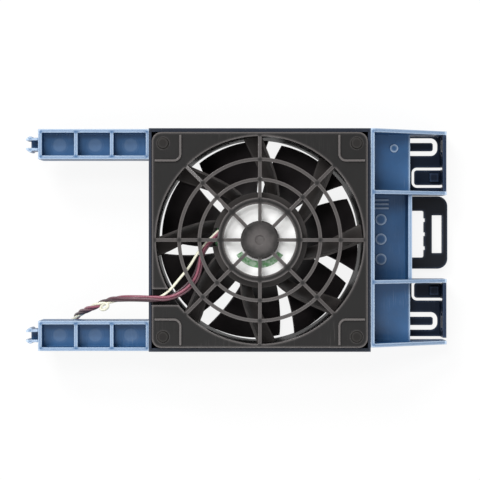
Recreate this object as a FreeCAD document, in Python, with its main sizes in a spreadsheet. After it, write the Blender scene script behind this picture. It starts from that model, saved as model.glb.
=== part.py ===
"""Server fan module: a 92 mm axial fan in a moulded carrier with arms, latch plates and a release lever.

The model stands on its intake face.  +Z points along the airflow, towards the finger guard; +X runs from the
fork lugs to the release lever; the fan axis lies off the middle of the length by a named amount.  Every piece
is drawn about the fan axis and then placed by that amount.
"""
import FreeCAD, Part
import math
import os
import re

import Sketcher

V = FreeCAD.Vector

# Driving dimensions, in millimetres and degrees.
SIZES = {
    # overall reach from the fan axis
    "reach_left": 100.9,
    "reach_right": 84.0,
    # fan
    "fan_size": 92.0,
    "fan_depth": 38.0,
    "fan_corner": 4.0,
    "hole_inset": 4.75,
    "hole_dia": 4.3,
    "duct_margin": 1.7,
    "mouth": 1.2,
    "duct_wall": 1.2,
    "flange_depth": 3.6,
    "post_dia": 8.4,
    # motor base and stator vanes
    "motor_dia": 40.8,
    "motor_drop": 1.8,
    "base_thick": 2.0,
    "skirt_wall": 1.2,
    "skirt_depth": 7.5,
    "vane_count": 8,
    "vane_thick": 1.3,
    "vane_drop": 2.8,
    "vane_depth": 8.4,
    "vane_swirl": 24.0,
    "vane_lean": 13.0,
    # finger guard
    "guard_plate": 1.5,
    "guard_rise": 2.5,
    "guard_rib": 1.5,
    "guard_rib_depth": 2.0,
    "guard_disc_dia": 16.4,
    "guard_hub_dia": 33.4,
    "guard_hub_width": 2.6,
    "guard_ring_a": 51.4,
    "guard_ring_b": 68.6,
    "guard_spokes": 8,
    "ridge_width": 0.9,
    "ridge_height": 0.8,
    "pad_size": 12.6,
    # carrier bay
    "wall": 1.6,
    "bay_side_wall": 1.2,
    "gap_x": 0.3,
    "gap_y": 0.25,
    "lip": 1.8,
    "bay_depth": 38.0,
    "seat_clear": 0.05,
    # arms with open cells
    "arm_end": 95.5,
    "arm_width": 13.0,
    "arm_top": 32.0,
    "arm_depth": 18.0,
    "arm_cell_depth": 8.0,
    "arm_web": 1.6,
    "arm_cells": 3,
    # fork lugs
    "prong_width": 1.2,
    "prong_gap": 3.2,
    "prong_barb": 0.6,
    "lug_web": 4.5,
    "lug_depth": 12.0,
    "lug_drop": 1.0,
    # latch tray
    "tray_end": 82.6,
    "tray_inset": 1.85,
    "tray_low": 15.0,
    "shelf_end": 66.5,
    "divider_top_y": 20.6,
    "divider_low_y": -18.0,
    "recess_floor": 9.6,
    "cross_top": 24.0,
    "boss_dia": 5.0,
    # latch plates
    "plate_thick": 1.6,
    "plate_lift": 0.4,
    "plate_clear": 0.1,
    "plate_gap": 1.3,
    "finger_width": 7.9,
    "finger_slot": 2.1,
    "finger_length": 12.7,
    "tab_slot": 1.2,
    "tab_width": 9.0,
    "hook_height": 2.2,
    # release lever
    "lever_top": 5.5,
    "lever_thick": 3.0,
    "lever_hi_y": 19.5,
    "lever_lo_y": -12.8,
    "lever_arm_hi": 6.5,
    "lever_arm_lo": 5.0,
    "window_a": 7.0,
    "bar_width": 3.6,
    "rail_width": 2.4,
    "rail_inset": 2.0,
    "lever_corner": 4.5,
    "pin_x": 62.4,
    "pin_dia": 2.0,
    "pin_clear": 0.05,
    # impeller and rotor
    "tip_gap": 1.1,
    "hub_dia": 38.8,
    "hub_wall": 1.4,
    "hub_start": 3.4,
    "hub_depth": 25.0,
    "blade_count": 7,
    "blade_start": 4.4,
    "blade_depth": 22.0,
    "blade_wrap": 43.0,
    "blade_sweep": 13.0,
    "blade_root_thick": 2.0,
    "blade_tip_thick": 1.2,
    "blade_phase": 65.3,
    "yoke_wall": 1.1,
    "magnet_wall": 1.5,
    "magnet_depth": 16.0,
    "glue_gap": 0.05,
    "air_gap": 0.45,
    # motor inside
    "stator_depth": 11.0,
    "tooth_width": 4.0,
    "yoke_core_dia": 14.0,
    "tube_dia": 10.0,
    "tube_wall": 1.0,
    "bearing_depth": 4.0,
    "shaft_dia": 3.0,
    "run_clear": 0.03,
    "clip_thick": 0.5,
    "board_thick": 1.2,
    "board_standoff": 1.0,
    "label_dia": 31.6,
    "label_thick": 0.2,
    # mounting pins
    "rivet_head": 5.2,
    "rivet_head_depth": 1.0,
    "rivet_clear": 0.15,
    # lead and plug
    "lead_dia": 2.6,
    "lead_clear": 0.2,
    "lead_exit_y": -25.1,
    "plug_width": 10.2,
    "plug_height": 5.8,
    "plug_length": 9.0,
    "contact_size": 1.4,
    "contact_pitch": 2.4,
}

doc = FreeCAD.newDocument("ServerFanModule")
sheet = doc.addObject("Spreadsheet::Sheet", "Sizes")
for row, (alias, number) in enumerate(SIZES.items(), start=1):
    sheet.set(f"A{row}", alias)
    sheet.set(f"B{row}", str(number))
    sheet.setAlias(f"B{row}", alias)
doc.recompute()

ALIAS = re.compile(r"\b(" + "|".join(sorted(SIZES, key=len, reverse=True)) + r")\b")


def bound(formula):
    """Return a formula with every alias written as a spreadsheet reference."""
    return ALIAS.sub(r"Sizes.\1", str(formula))


def value(formula):
    """Return the present number of a formula of aliases."""
    number = sheet.evalExpression(str(formula))
    return float(getattr(number, "Value", number))


# Derived positions, as formulas of the driving dimensions.
FAN_X = "(reach_left - reach_right) / 2"
BAY_X = "(fan_size / 2 + gap_x + bay_side_wall)"
BAY_Y = "(fan_size / 2 + gap_y + wall)"
FAN_TOP = "(lip + fan_depth)"
GUARD_LOW = f"({FAN_TOP} + guard_plate)"
GUARD_TOP = f"({GUARD_LOW} + guard_rise)"
CROWN = "(guard_ring_b / 2 + guard_rib / 2)"
DUCT = "(fan_size / 2 - duct_margin)"
TIP = f"({DUCT} - tip_gap)"
MOTOR_TOP = f"({FAN_TOP} - motor_drop)"
BASE_LOW = f"({MOTOR_TOP} - base_thick)"
BOARD_TOP = f"({BASE_LOW} - board_standoff)"
HOLE = "(fan_size / 2 - hole_inset)"
ARM_IN = f"({BAY_Y} - arm_width)"
TRAY_HI = BAY_Y
TRAY_LO = f"(0 - {BAY_Y} + tray_inset)"
WALL_HI = f"({TRAY_HI} - wall)"
WALL_LO = f"({TRAY_LO} + wall)"
DIV_HI_IN = "(divider_top_y - wall / 2)"
DIV_HI_OUT = "(divider_top_y + wall / 2)"
DIV_LO_IN = "(divider_low_y + wall / 2)"
DIV_LO_OUT = "(divider_low_y - wall / 2)"
PLATE_TOP = "(plate_lift + plate_thick)"
LEVER_LOW = "(lever_top - lever_thick)"
LEVER_MID = "(lever_top - lever_thick / 2)"
HUB_IN = "(hub_dia / 2 - hub_wall)"
HUB_LOW = "(lip + hub_start)"
HUB_TOP = f"({HUB_LOW} + hub_depth)"
YOKE_OUT = f"({HUB_IN} - glue_gap)"
YOKE_IN = f"({YOKE_OUT} - yoke_wall)"
YOKE_LOW = f"({HUB_LOW} + hub_wall)"
MAGNET_OUT = f"({YOKE_IN} - glue_gap)"
MAGNET_IN = f"({MAGNET_OUT} - magnet_wall)"
STATOR_OUT = f"({MAGNET_IN} - air_gap)"
TUBE_LOW = f"({YOKE_LOW} + yoke_wall + 2)"
STATOR_MID = f"({HUB_TOP} - magnet_depth / 2)"
BEARING_OUT = "(tube_dia / 2 - tube_wall)"
LEAD_Z = f"({FAN_TOP} - lead_dia / 2 + lead_clear + 0.8)"


def add_body(name):
    """Start a body whose axis is the fan axis, placed along X by the named offset."""
    body = doc.addObject("PartDesign::Body", name)
    body.Label = name
    body.setExpression(".Placement.Base.x", bound(FAN_X))
    return body


def rect(left, low, right, high):
    """Return a closed loop of four corner formulas."""
    return [(left, low), (right, low), (right, high), (left, high)]


def sketch(body, name, loops, plane="XY_Plane", offset="0"):
    """Draw closed loops on one of the body's origin planes.

    A loop is a list of corner formulas, or (centre x, centre y, radius) for a circle.
    """
    support = [item for item in body.Origin.OriginFeatures if item.Role == plane][0]
    drawing = body.newObject("Sketcher::SketchObject", name)
    drawing.AttachmentSupport = [(support, "")]
    drawing.MapMode = "FlatFace"
    drawing.setExpression("AttachmentOffset.Base.z", bound(offset))
    for loop in loops:
        if isinstance(loop, tuple):
            centre_x, centre_y, radius = loop
            place = V(value(centre_x), value(centre_y), 0)
            edge = drawing.addGeometry(Part.Circle(place, V(0, 0, 1), value(radius)), False)
            tie(drawing, edge, 3, centre_x, centre_y)
            mark = drawing.addConstraint(Sketcher.Constraint("Radius", edge, value(radius)))
            drawing.setExpression(f"Constraints[{mark}]", bound(radius))
            continue
        corners = [V(value(px), value(py), 0) for px, py in loop]
        count = len(corners)
        edges = []
        for i in range(count):
            line = Part.LineSegment(corners[i], corners[(i + 1) % count])
            edges.append(drawing.addGeometry(line, False))
        for i in range(count):
            following = edges[(i + 1) % count]
            drawing.addConstraint(Sketcher.Constraint("Coincident", edges[i], 2, following, 1))
        for edge, (px, py) in zip(edges, loop):
            tie(drawing, edge, 1, px, py)
    return drawing


def tie(drawing, edge, point, px, py):
    """Bind one sketch point to a pair of formulas."""
    for kind, formula in (("DistanceX", px), ("DistanceY", py)):
        mark = drawing.addConstraint(Sketcher.Constraint(kind, -1, 1, edge, point, value(formula)))
        drawing.setExpression(f"Constraints[{mark}]", bound(formula))


def pad(body, name, loops, low, high):
    """Add material over closed loops between two heights."""
    feature = body.newObject("PartDesign::Pad", name)
    feature.Profile = sketch(body, name + "Sketch", loops, "XY_Plane", low)
    feature.setExpression("Length", bound(f"({high}) - ({low})"))
    return feature


def pocket(body, name, loops, low, high):
    """Remove material over closed loops between two heights."""
    feature = body.newObject("PartDesign::Pocket", name)
    feature.Profile = sketch(body, name + "Sketch", loops, "XY_Plane", low)
    feature.Reversed = True
    feature.setExpression("Length", bound(f"({high}) - ({low})"))
    return feature


def side_pad(body, name, loops, width, plane="XZ_Plane", offset="0"):
    """Add material over loops drawn on a side plane, spread evenly about that plane."""
    feature = body.newObject("PartDesign::Pad", name)
    feature.Profile = sketch(body, name + "Sketch", loops, plane, offset)
    feature.Midplane = True
    feature.setExpression("Length", bound(width))
    return feature


def side_pocket(body, name, loops, width, plane="XZ_Plane", offset="0"):
    """Remove material over loops drawn on a side plane, spread evenly about that plane."""
    feature = body.newObject("PartDesign::Pocket", name)
    feature.Profile = sketch(body, name + "Sketch", loops, plane, offset)
    feature.Midplane = True
    feature.setExpression("Length", bound(width))
    return feature


def axis_of(body, role):
    """Return the body's origin axis of the given role."""
    return [item for item in body.Origin.OriginFeatures if item.Role == role][0]


def revolve(body, name, loop, cut=False):
    """Add or cut a full turn about Z of a loop of (radius, height) formulas."""
    kind = "PartDesign::Groove" if cut else "PartDesign::Revolution"
    feature = body.newObject(kind, name)
    feature.Profile = sketch(body, name + "Sketch", [loop], "XZ_Plane")
    feature.ReferenceAxis = (axis_of(body, "Z_Axis"), [""])
    feature.Angle = 360
    return feature


def polar(body, name, originals, count):
    """Repeat features evenly round the fan axis."""
    pattern = body.newObject("PartDesign::PolarPattern", name)
    pattern.Originals = originals
    pattern.Axis = (axis_of(body, "Z_Axis"), [""])
    pattern.Angle = 360
    pattern.setExpression("Occurrences", bound(count))
    body.Tip = pattern
    return pattern


def soften(body, name, chosen, radius, kind="Fillet"):
    """Round or chamfer the edges that the test picks."""
    doc.recompute()
    base = body.Tip
    picks = [f"Edge{i}" for i, edge in enumerate(base.Shape.Edges, start=1) if chosen(edge)]
    if not picks:
        raise RuntimeError(f"{name}: no edge to soften")
    feature = body.newObject(f"PartDesign::{kind}", name)
    feature.Base = (base, picks)
    feature.setExpression("Radius" if kind == "Fillet" else "Size", bound(radius))
    body.Tip = feature
    return feature


def upright(edge, spots, reach=0.05):
    """Say whether an edge stands along Z at one of the given (x, y) places."""
    first = edge.Vertexes[0].Point
    last = edge.Vertexes[-1].Point
    if abs(first.x - last.x) > reach or abs(first.y - last.y) > reach or abs(first.z - last.z) < reach:
        return False
    return any(abs(first.x - px) < reach and abs(first.y - py) < reach for px, py in spots)


def lengthwise(edge, spots, reach=0.05):
    """Say whether an edge runs along X at one of the given (y, z) places."""
    first = edge.Vertexes[0].Point
    last = edge.Vertexes[-1].Point
    if abs(first.y - last.y) > reach or abs(first.z - last.z) > reach or abs(first.x - last.x) < reach:
        return False
    return any(abs(first.y - py) < reach and abs(first.z - pz) < reach for py, pz in spots)


def signs():
    """Return the four quadrant signs."""
    return [(1, 1), (-1, 1), (-1, -1), (1, -1)]


# ---------------------------------------------------------------- carrier
def make_bay():
    """Square tube that holds the fan, with a rear lip, an air opening and four pin holes."""
    body = add_body("carrier_bay")
    pad(body, "Block", [rect(f"0-{BAY_X}", f"0-{BAY_Y}", BAY_X, BAY_Y)], "0", "bay_depth")
    inner_x = f"({BAY_X} - bay_side_wall)"
    inner_y = f"({BAY_Y} - wall)"
    pocket(body, "Room", [rect(f"0-{inner_x}", f"0-{inner_y}", inner_x, inner_y)], "lip", "bay_depth + 1")
    pocket(body, "AirOpening", [("0", "0", f"{DUCT} + mouth")], "0-1", "lip + 1")
    holes = [(f"{sx}*{HOLE}", f"{sy}*{HOLE}", "hole_dia / 2") for sx, sy in signs()]
    pocket(body, "PinHoles", holes, "0-1", "lip + 1")
    return body


def make_arm(name, side):
    """Channel-shaped arm with open cells and a barbed two-prong lug at its end."""
    body = add_body(name)
    low = "(arm_top - arm_depth)"
    outer = f"{side}*{BAY_Y}"
    inner = f"{side}*{ARM_IN}"
    pad(body, "Beam", [rect("0-arm_end", inner, f"0-{BAY_X}", outer)], low, "arm_top")
    pitch = f"((arm_end - {BAY_X} - wall) / arm_cells)"
    cell_out = f"{side}*({BAY_Y} - wall)"
    cell_in = f"{side}*({ARM_IN} + wall)"
    count = int(round(value("arm_cells")))
    cells = []
    for i in range(count):
        start = f"(0 - arm_end + wall + {i}*{pitch})"
        cells.append(rect(start, cell_in, f"({start} + {pitch} - wall)", cell_out))
    pocket(body, "FrontCells", cells, "arm_top - arm_cell_depth", "arm_top + 1")
    pocket(body, "RearCells", cells, f"{low} - 1", "arm_top - arm_cell_depth - arm_web")
    middle = f"({BAY_Y} - arm_width / 2)"
    tip = "(0 - reach_left)"
    root = "(0 - arm_end + wall / 2)"
    for number, way in enumerate((1, -1)):
        near = f"{side}*({middle} + {way}*prong_gap / 2)"
        far = f"{side}*({middle} + {way}*(prong_gap / 2 + prong_width))"
        barb = f"{side}*({middle} + {way}*(prong_gap / 2 + prong_width + prong_barb))"
        nose = f"{side}*({middle} + {way}*(prong_gap / 2 + prong_width * 0.6))"
        loop = [
            (root, near), (tip, near), (tip, nose), (f"{tip} + 1.5", barb),
            (f"{tip} + 2.3", barb), (f"{tip} + 2.9", far), (root, far),
        ]
        pad(body, f"Prong{number}", [loop], "arm_top - lug_drop - lug_depth", "arm_top - lug_drop")
    web = rect(f"({tip} + 1.5)", f"({side}*{middle} - prong_gap / 2 - 0.3)", root, f"({side}*{middle} + prong_gap / 2 + 0.3)")
    pad(body, "LugWeb", [web], "arm_top - lug_drop - lug_depth", "arm_top - lug_drop - lug_depth + lug_web")
    return body


def make_tray():
    """Open-topped end section: two side walls, two dividers, shelves and a recessed middle bay."""
    body = add_body("latch_tray")
    start = BAY_X
    back = "(shelf_end - wall)"
    pad(body, "CrossWall", [rect(back, TRAY_LO, "shelf_end", TRAY_HI)], PLATE_TOP, "tray_low")
    walls = [
        rect(start, TRAY_LO, f"({start} + wall)", TRAY_HI),
        rect(start, WALL_HI, "tray_end", TRAY_HI),
        rect(start, TRAY_LO, "tray_end", WALL_LO),
        rect(start, DIV_HI_IN, "tray_end", DIV_HI_OUT),
        rect(start, DIV_LO_OUT, "tray_end", DIV_LO_IN),
    ]
    for number, wall_loop in enumerate(walls):
        pad(body, f"Wall{number}", [wall_loop], "0", "bay_depth")
    slope = [
        (f"({start} + wall)", "bay_depth"), ("tray_end + 1", "bay_depth"),
        ("tray_end + 1", "tray_low"), ("tray_end - wall / 2", "tray_low"),
    ]
    side_pocket(body, "Slope", [slope], f"3*{BAY_Y}")
    pad(body, "ShelfHi", [rect(start, DIV_HI_OUT, "shelf_end", WALL_HI)], "tray_low - wall", "tray_low")
    pad(body, "ShelfLo", [rect(start, WALL_LO, "shelf_end", DIV_LO_OUT)], "tray_low - wall", "tray_low")
    middle = rect(back, DIV_LO_IN, "shelf_end", DIV_HI_IN)
    pad(body, "CrossRise", [middle], "recess_floor - wall", "cross_top")
    pocket(body, "LeverWay", [middle], "0 - 1", "recess_floor - wall")
    floor = rect(start, DIV_LO_IN, "shelf_end", DIV_HI_IN)
    pad(body, "RecessFloor", [floor], "recess_floor - wall", "recess_floor")
    lines = []
    for part in ("0.845", "0.895", "0.945"):
        rib_y = f"({DIV_LO_IN} + {part}*({DIV_HI_IN} - {DIV_LO_IN}))"
        lines.append(rect(f"({start} + 3)", f"({rib_y} - 0.4)", f"({start} + 10)", f"({rib_y} + 0.4)"))
    pad(body, "RecessRibs", lines, "recess_floor", "recess_floor + 0.8")
    spots = []
    for part in ("0.235", "0.475", "0.71"):
        spot_y = f"({DIV_LO_IN} + {part}*({DIV_HI_IN} - {DIV_LO_IN}))"
        spots.append((f"({start} + 6.5)", spot_y, "boss_dia / 2"))
    pad(body, "RecessBosses", spots, "recess_floor", "recess_floor + 0.8")
    pad(body, "ShelfBump", [("59.4", f"{WALL_HI} - 5.9", "1.8")], "tray_low", "tray_low + 0.7")
    pin = [("pin_x", LEVER_MID, "pin_dia / 2")]
    side_pocket(body, "PinHoles", [pin[0]], f"2*({DIV_HI_OUT}) + 0.2")
    return body


def make_plate(name, low_y, high_y, finger_y, tab_y, tab_side):
    """Latch plate: a slotted floor turned up into an end wall, with a finger and a hooked tab."""
    body = add_body(name)
    left = "(shelf_end - wall)"
    right = "(tray_end - plate_clear)"
    pad(body, "Floor", [rect(left, low_y, right, high_y)], "plate_lift", PLATE_TOP)
    pad(body, "EndWall", [rect(f"({right} - plate_thick)", low_y, right, high_y)], "plate_lift", "tray_low")
    root = "(shelf_end + 0.8)"
    tip = f"({root} + finger_length)"
    half = "(finger_width / 2)"
    slot = [
        (root, f"{finger_y} - {half}"), (tip, f"{finger_y} - {half}"),
        (tip, f"{finger_y} + {half}"), (root, f"{finger_y} + {half}"),
        (root, f"{finger_y} + {half} - finger_slot"),
        (f"{tip} - finger_slot", f"{finger_y} + {half} - finger_slot"),
        (f"{tip} - finger_slot", f"{finger_y} - {half} + finger_slot"),
        (root, f"{finger_y} - {half} + finger_slot"),
    ]
    pocket(body, "FingerSlot", [slot], "plate_lift - 1", f"{PLATE_TOP} + 0.001")
    bends = [(value(tip), value(f"{finger_y} + {way}*{half}")) for way in (1, -1)]
    soften(body, "FingerBends", lambda edge: upright(edge, bends), "0.4*finger_width")
    ends = [(value(f"{tip} - finger_slot"), value(f"{finger_y} + {way}*({half} - finger_slot)")) for way in (1, -1)]
    soften(body, "FingerEnd", lambda edge: upright(edge, ends), "0.12*finger_width")
    free = "(shelf_end + 1.9)"
    reach = "(tray_end + 1)"
    near = f"({tab_y} - {tab_side}*tab_width / 2)"
    far = f"({tab_y} + {tab_side}*tab_width / 2)"
    far_in = f"({tab_y} + {tab_side}*(tab_width / 2 - tab_slot))"
    near_in = f"({tab_y} - {tab_side}*(tab_width / 2 - tab_slot))"
    tab = [
        (free, near), (reach, near), (reach, near_in), (f"{free} + tab_slot", near_in),
        (f"{free} + tab_slot", far_in), (reach, far_in), (reach, far), (free, far),
    ]
    pocket(body, "TabSlot", [tab], "plate_lift - 1", "tray_low - 3")
    bends = [(value(free), value(place)) for place in (near, far)]
    soften(body, "TabBends", lambda edge: upright(edge, bends), "0.27*tab_width")
    ends = [(value(f"{free} + tab_slot"), value(place)) for place in (near_in, far_in)]
    soften(body, "TabEnd", lambda edge: upright(edge, ends), "0.13*tab_width")
    hook = rect("(tray_end - 6.4)", f"({tab_y} - 1.9)", "(tray_end - 2.4)", f"({tab_y} + 1.9)")
    pad(body, "Hook", [hook], PLATE_TOP, f"{PLATE_TOP} + hook_height")
    wall_slot = [
        (f"{finger_y} - {half}", "tray_low + 1"), (f"{finger_y} - {half}", "tray_low - 9.5"),
        (f"{finger_y} + {half}", "tray_low - 9.5"), (f"{finger_y} + {half}", "tray_low + 1"),
        (f"{finger_y} + {half} - 1.2", "tray_low + 1"), (f"{finger_y} + {half} - 1.2", "tray_low - 8.3"),
        (f"{finger_y} - {half} + 1.2", "tray_low - 8.3"), (f"{finger_y} - {half} + 1.2", "tray_low + 1"),
    ]
    top_cut = [(py, pz.replace("tray_low + 1", "tray_low - 2.2")) for py, pz in wall_slot]
    side_pocket(body, "WallSlot", [top_cut], "8", "YZ_Plane", "tray_end")
    bends = [(value(py), value(pz)) for py, pz in top_cut[1:3]]
    soften(body, "WallBends", lambda edge: lengthwise(edge, bends), "0.4*finger_width")
    ends = [(value(py), value(pz)) for py, pz in top_cut[5:7]]
    soften(body, "WallEnd", lambda edge: lengthwise(edge, ends), "0.25*finger_width")
    return body


def make_lever():
    """D-shaped release lever: two arms from a pivot bar to a cross bar and an outer rail."""
    body = add_body("release_lever")
    near = "(pin_x - 2.2)"
    outline = rect(near, "lever_lo_y", "reach_right", "lever_hi_y")
    pad(body, "Blank", [outline], LEVER_LOW, "lever_top")
    bar = "(shelf_end + window_a)"
    high = "(lever_hi_y - lever_arm_hi)"
    low = "(lever_lo_y + lever_arm_lo)"
    first = rect("(pin_x + 2.2)", low, bar, high)
    second_hi = f"({high} - rail_inset)"
    second_lo = f"({low} + rail_inset)"
    second = rect(f"({bar} + bar_width)", second_lo, "(reach_right - rail_width)", second_hi)
    pocket(body, "FirstWindow", [first], "0", "lever_top + 1")
    pocket(body, "SecondWindow", [second], "0", "lever_top + 1")
    span = f"({high} - {low})"
    notches = []
    for part in ("0.2", "0.5", "0.8"):
        notch_y = f"({low} + {part}*{span})"
        notches.append(rect(f"({bar} - 1)", f"({notch_y} - 0.8)", f"({bar} + 0.6)", f"({notch_y} + 0.8)"))
    pocket(body, "BarNicks", notches, "0", "lever_top + 1")
    pivot = (f"pin_x", LEVER_MID, "pin_dia / 2 + pin_clear")
    side_pocket(body, "PivotHole", [pivot], "4*lever_hi_y")
    corners = [(value("reach_right"), value("lever_hi_y")), (value("reach_right"), value("lever_lo_y"))]
    soften(body, "RailCorners", lambda edge: upright(edge, corners), "lever_corner")
    spots = [(value(bar), value(high)), (value(bar), value(low))]
    soften(body, "WindowCorners", lambda edge: upright(edge, spots), "0.8")
    return body


def make_lever_pin():
    """Steel pivot pin between the two dividers."""
    body = add_body("lever_pin")
    span = f"({DIV_HI_OUT}) - ({DIV_LO_OUT})"
    middle = f"0 - (({DIV_HI_OUT}) + ({DIV_LO_OUT})) / 2"
    side_pad(body, "Pin", [("pin_x", LEVER_MID, "pin_dia / 2 - 0.01")], span, "XZ_Plane", middle)
    return body


# ---------------------------------------------------------------- fan frame
def make_housing():
    """Fan frame: square flanges, round duct with a flared mouth, corner posts and pin holes."""
    core = add_body("fan_housing")
    size = "(fan_size / 2)"
    low = "(lip + seat_clear)"
    square = rect(f"0-{size}", f"0-{size}", size, size)
    pad(core, "RearFlange", [square], low, f"{low} + flange_depth")
    pad(core, "Barrel", [("0", "0", f"{DUCT} + duct_wall")], low, FAN_TOP)
    posts = [(f"{sx}*{HOLE}", f"{sy}*{HOLE}", "post_dia / 2") for sx, sy in signs()]
    pad(core, "Posts", posts, low, FAN_TOP)
    pad(core, "FrontFlange", [square], f"{FAN_TOP} - flange_depth", FAN_TOP)
    corners = [(sx * value(size), sy * value(size)) for sx, sy in signs()]
    soften(core, "Corners", lambda edge: upright(edge, corners), "fan_corner")
    pocket(core, "Duct", [("0", "0", DUCT)], "0", f"{FAN_TOP} + 1")
    flare = [(f"{DUCT} - 1", low), (f"{DUCT} + mouth", low), (DUCT, f"{low} + 1.6*mouth"), (f"{DUCT} - 1", f"{low} + 1.6*mouth")]
    revolve(core, "Mouth", flare, True)
    holes = [(f"{sx}*{HOLE}", f"{sy}*{HOLE}", "hole_dia / 2") for sx, sy in signs()]
    pocket(core, "Holes", holes, "0", f"{FAN_TOP} + 1")
    notch = rect(f"0-{size}-1", "lead_exit_y - lead_dia", f"0-{DUCT}*0.6", "lead_exit_y + 1.6*lead_dia")
    pocket(core, "LeadNotch", [notch], f"{LEAD_Z} - lead_dia / 2 - lead_clear", f"{FAN_TOP} + 1")
    return core


def make_stator():
    """Motor base with its skirt and bearing seat, and the swirled vanes that carry it in the duct."""
    cup = doc.addObject("PartDesign::Body", "motor_base")
    outer = "(motor_dia / 2)"
    inner = f"({outer} - skirt_wall)"
    loop = [
        (BEARING_OUT, MOTOR_TOP), (outer, MOTOR_TOP), (outer, f"{MOTOR_TOP} - skirt_depth"),
        (inner, f"{MOTOR_TOP} - skirt_depth"), (inner, BASE_LOW),
        ("(tube_dia / 2 + 2)", BASE_LOW), ("(tube_dia / 2 + 2)", BOARD_TOP), (BEARING_OUT, BOARD_TOP),
    ]
    revolve(cup, "Cup", loop)
    gate = rect(f"0-{outer}-1", "0 - lead_dia", f"0-{outer}*0.72", "lead_dia + 2.6")
    pocket(cup, "LeadGate", [gate], f"{BOARD_TOP} - 1", f"{MOTOR_TOP} + 1")
    doc.recompute()

    vane = doc.addObject("Part::Feature", "stator_vanes")
    vane.Shape = vane_ring()
    whole = doc.addObject("Part::MultiFuse", "stator_frame")
    whole.Label = "stator_frame"
    whole.Shapes = [cup, vane]
    whole.Refine = True
    whole.setExpression(".Placement.Base.x", bound(FAN_X))
    return whole


def vane_ring():
    """Curved vanes between the motor base and the duct wall, leaning so that they straighten the air."""
    inner = value("motor_dia / 2 - skirt_wall / 2")
    outer = value(f"{DUCT} + duct_wall")
    top = value(f"{FAN_TOP} - vane_drop")
    depth = value("vane_depth")
    thick = value("vane_thick")
    swirl = value("vane_swirl")
    lean = value("vane_lean")
    sections = []
    for part in (0.0, 0.5, 1.0):
        height = top - depth * part
        turn = lean * part * part
        left = []
        right = []
        for step in range(4):
            share = step / 3
            radius = inner + (outer - inner) * share
            angle = math.radians(-swirl * (1 - share) ** 1.4 + turn * (1 - 0.35 * share))
            centre = V(radius * math.cos(angle), radius * math.sin(angle), height)
            slip = math.radians(math.degrees(angle) + 90 - 25 * (1 - share))
            across = V(math.cos(slip), math.sin(slip), 0) * (thick / 2)
            left.append(centre + across)
            right.append(centre - across)
        sections.append(closed_section(left, right))
    blade = Part.makeLoft(sections, True, False)
    count = int(round(value("vane_count")))
    seat = Part.makeCylinder(value(f"{DUCT} - seat_clear"), value(GUARD_TOP))
    blade = blade.common(seat)
    copies = []
    for i in range(count):
        copy = blade.copy()
        copy.rotate(V(0, 0, 0), V(0, 0, 1), 360.0 * i / count)
        copies.append(copy)
    return Part.makeCompound(copies)


def cubic(points):
    """Return the cubic curve through four evenly spaced points."""
    first, second, third, last = points
    near = (second * 18 - first * 5 - third * 9 + last * 2) * (1 / 6)
    far = (third * 18 - last * 5 - second * 9 + first * 2) * (1 / 6)
    curve = Part.BezierCurve()
    curve.setPoles([first, near, far, last])
    return curve


def closed_section(left, right):
    """Join two rows of four points by cubic curves and end lines into one closed wire."""
    return Part.Wire([
        cubic(left).toShape(),
        Part.LineSegment(left[-1], right[-1]).toShape(),
        cubic(list(reversed(right))).toShape(),
        Part.LineSegment(right[0], left[0]).toShape(),
    ])


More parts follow.
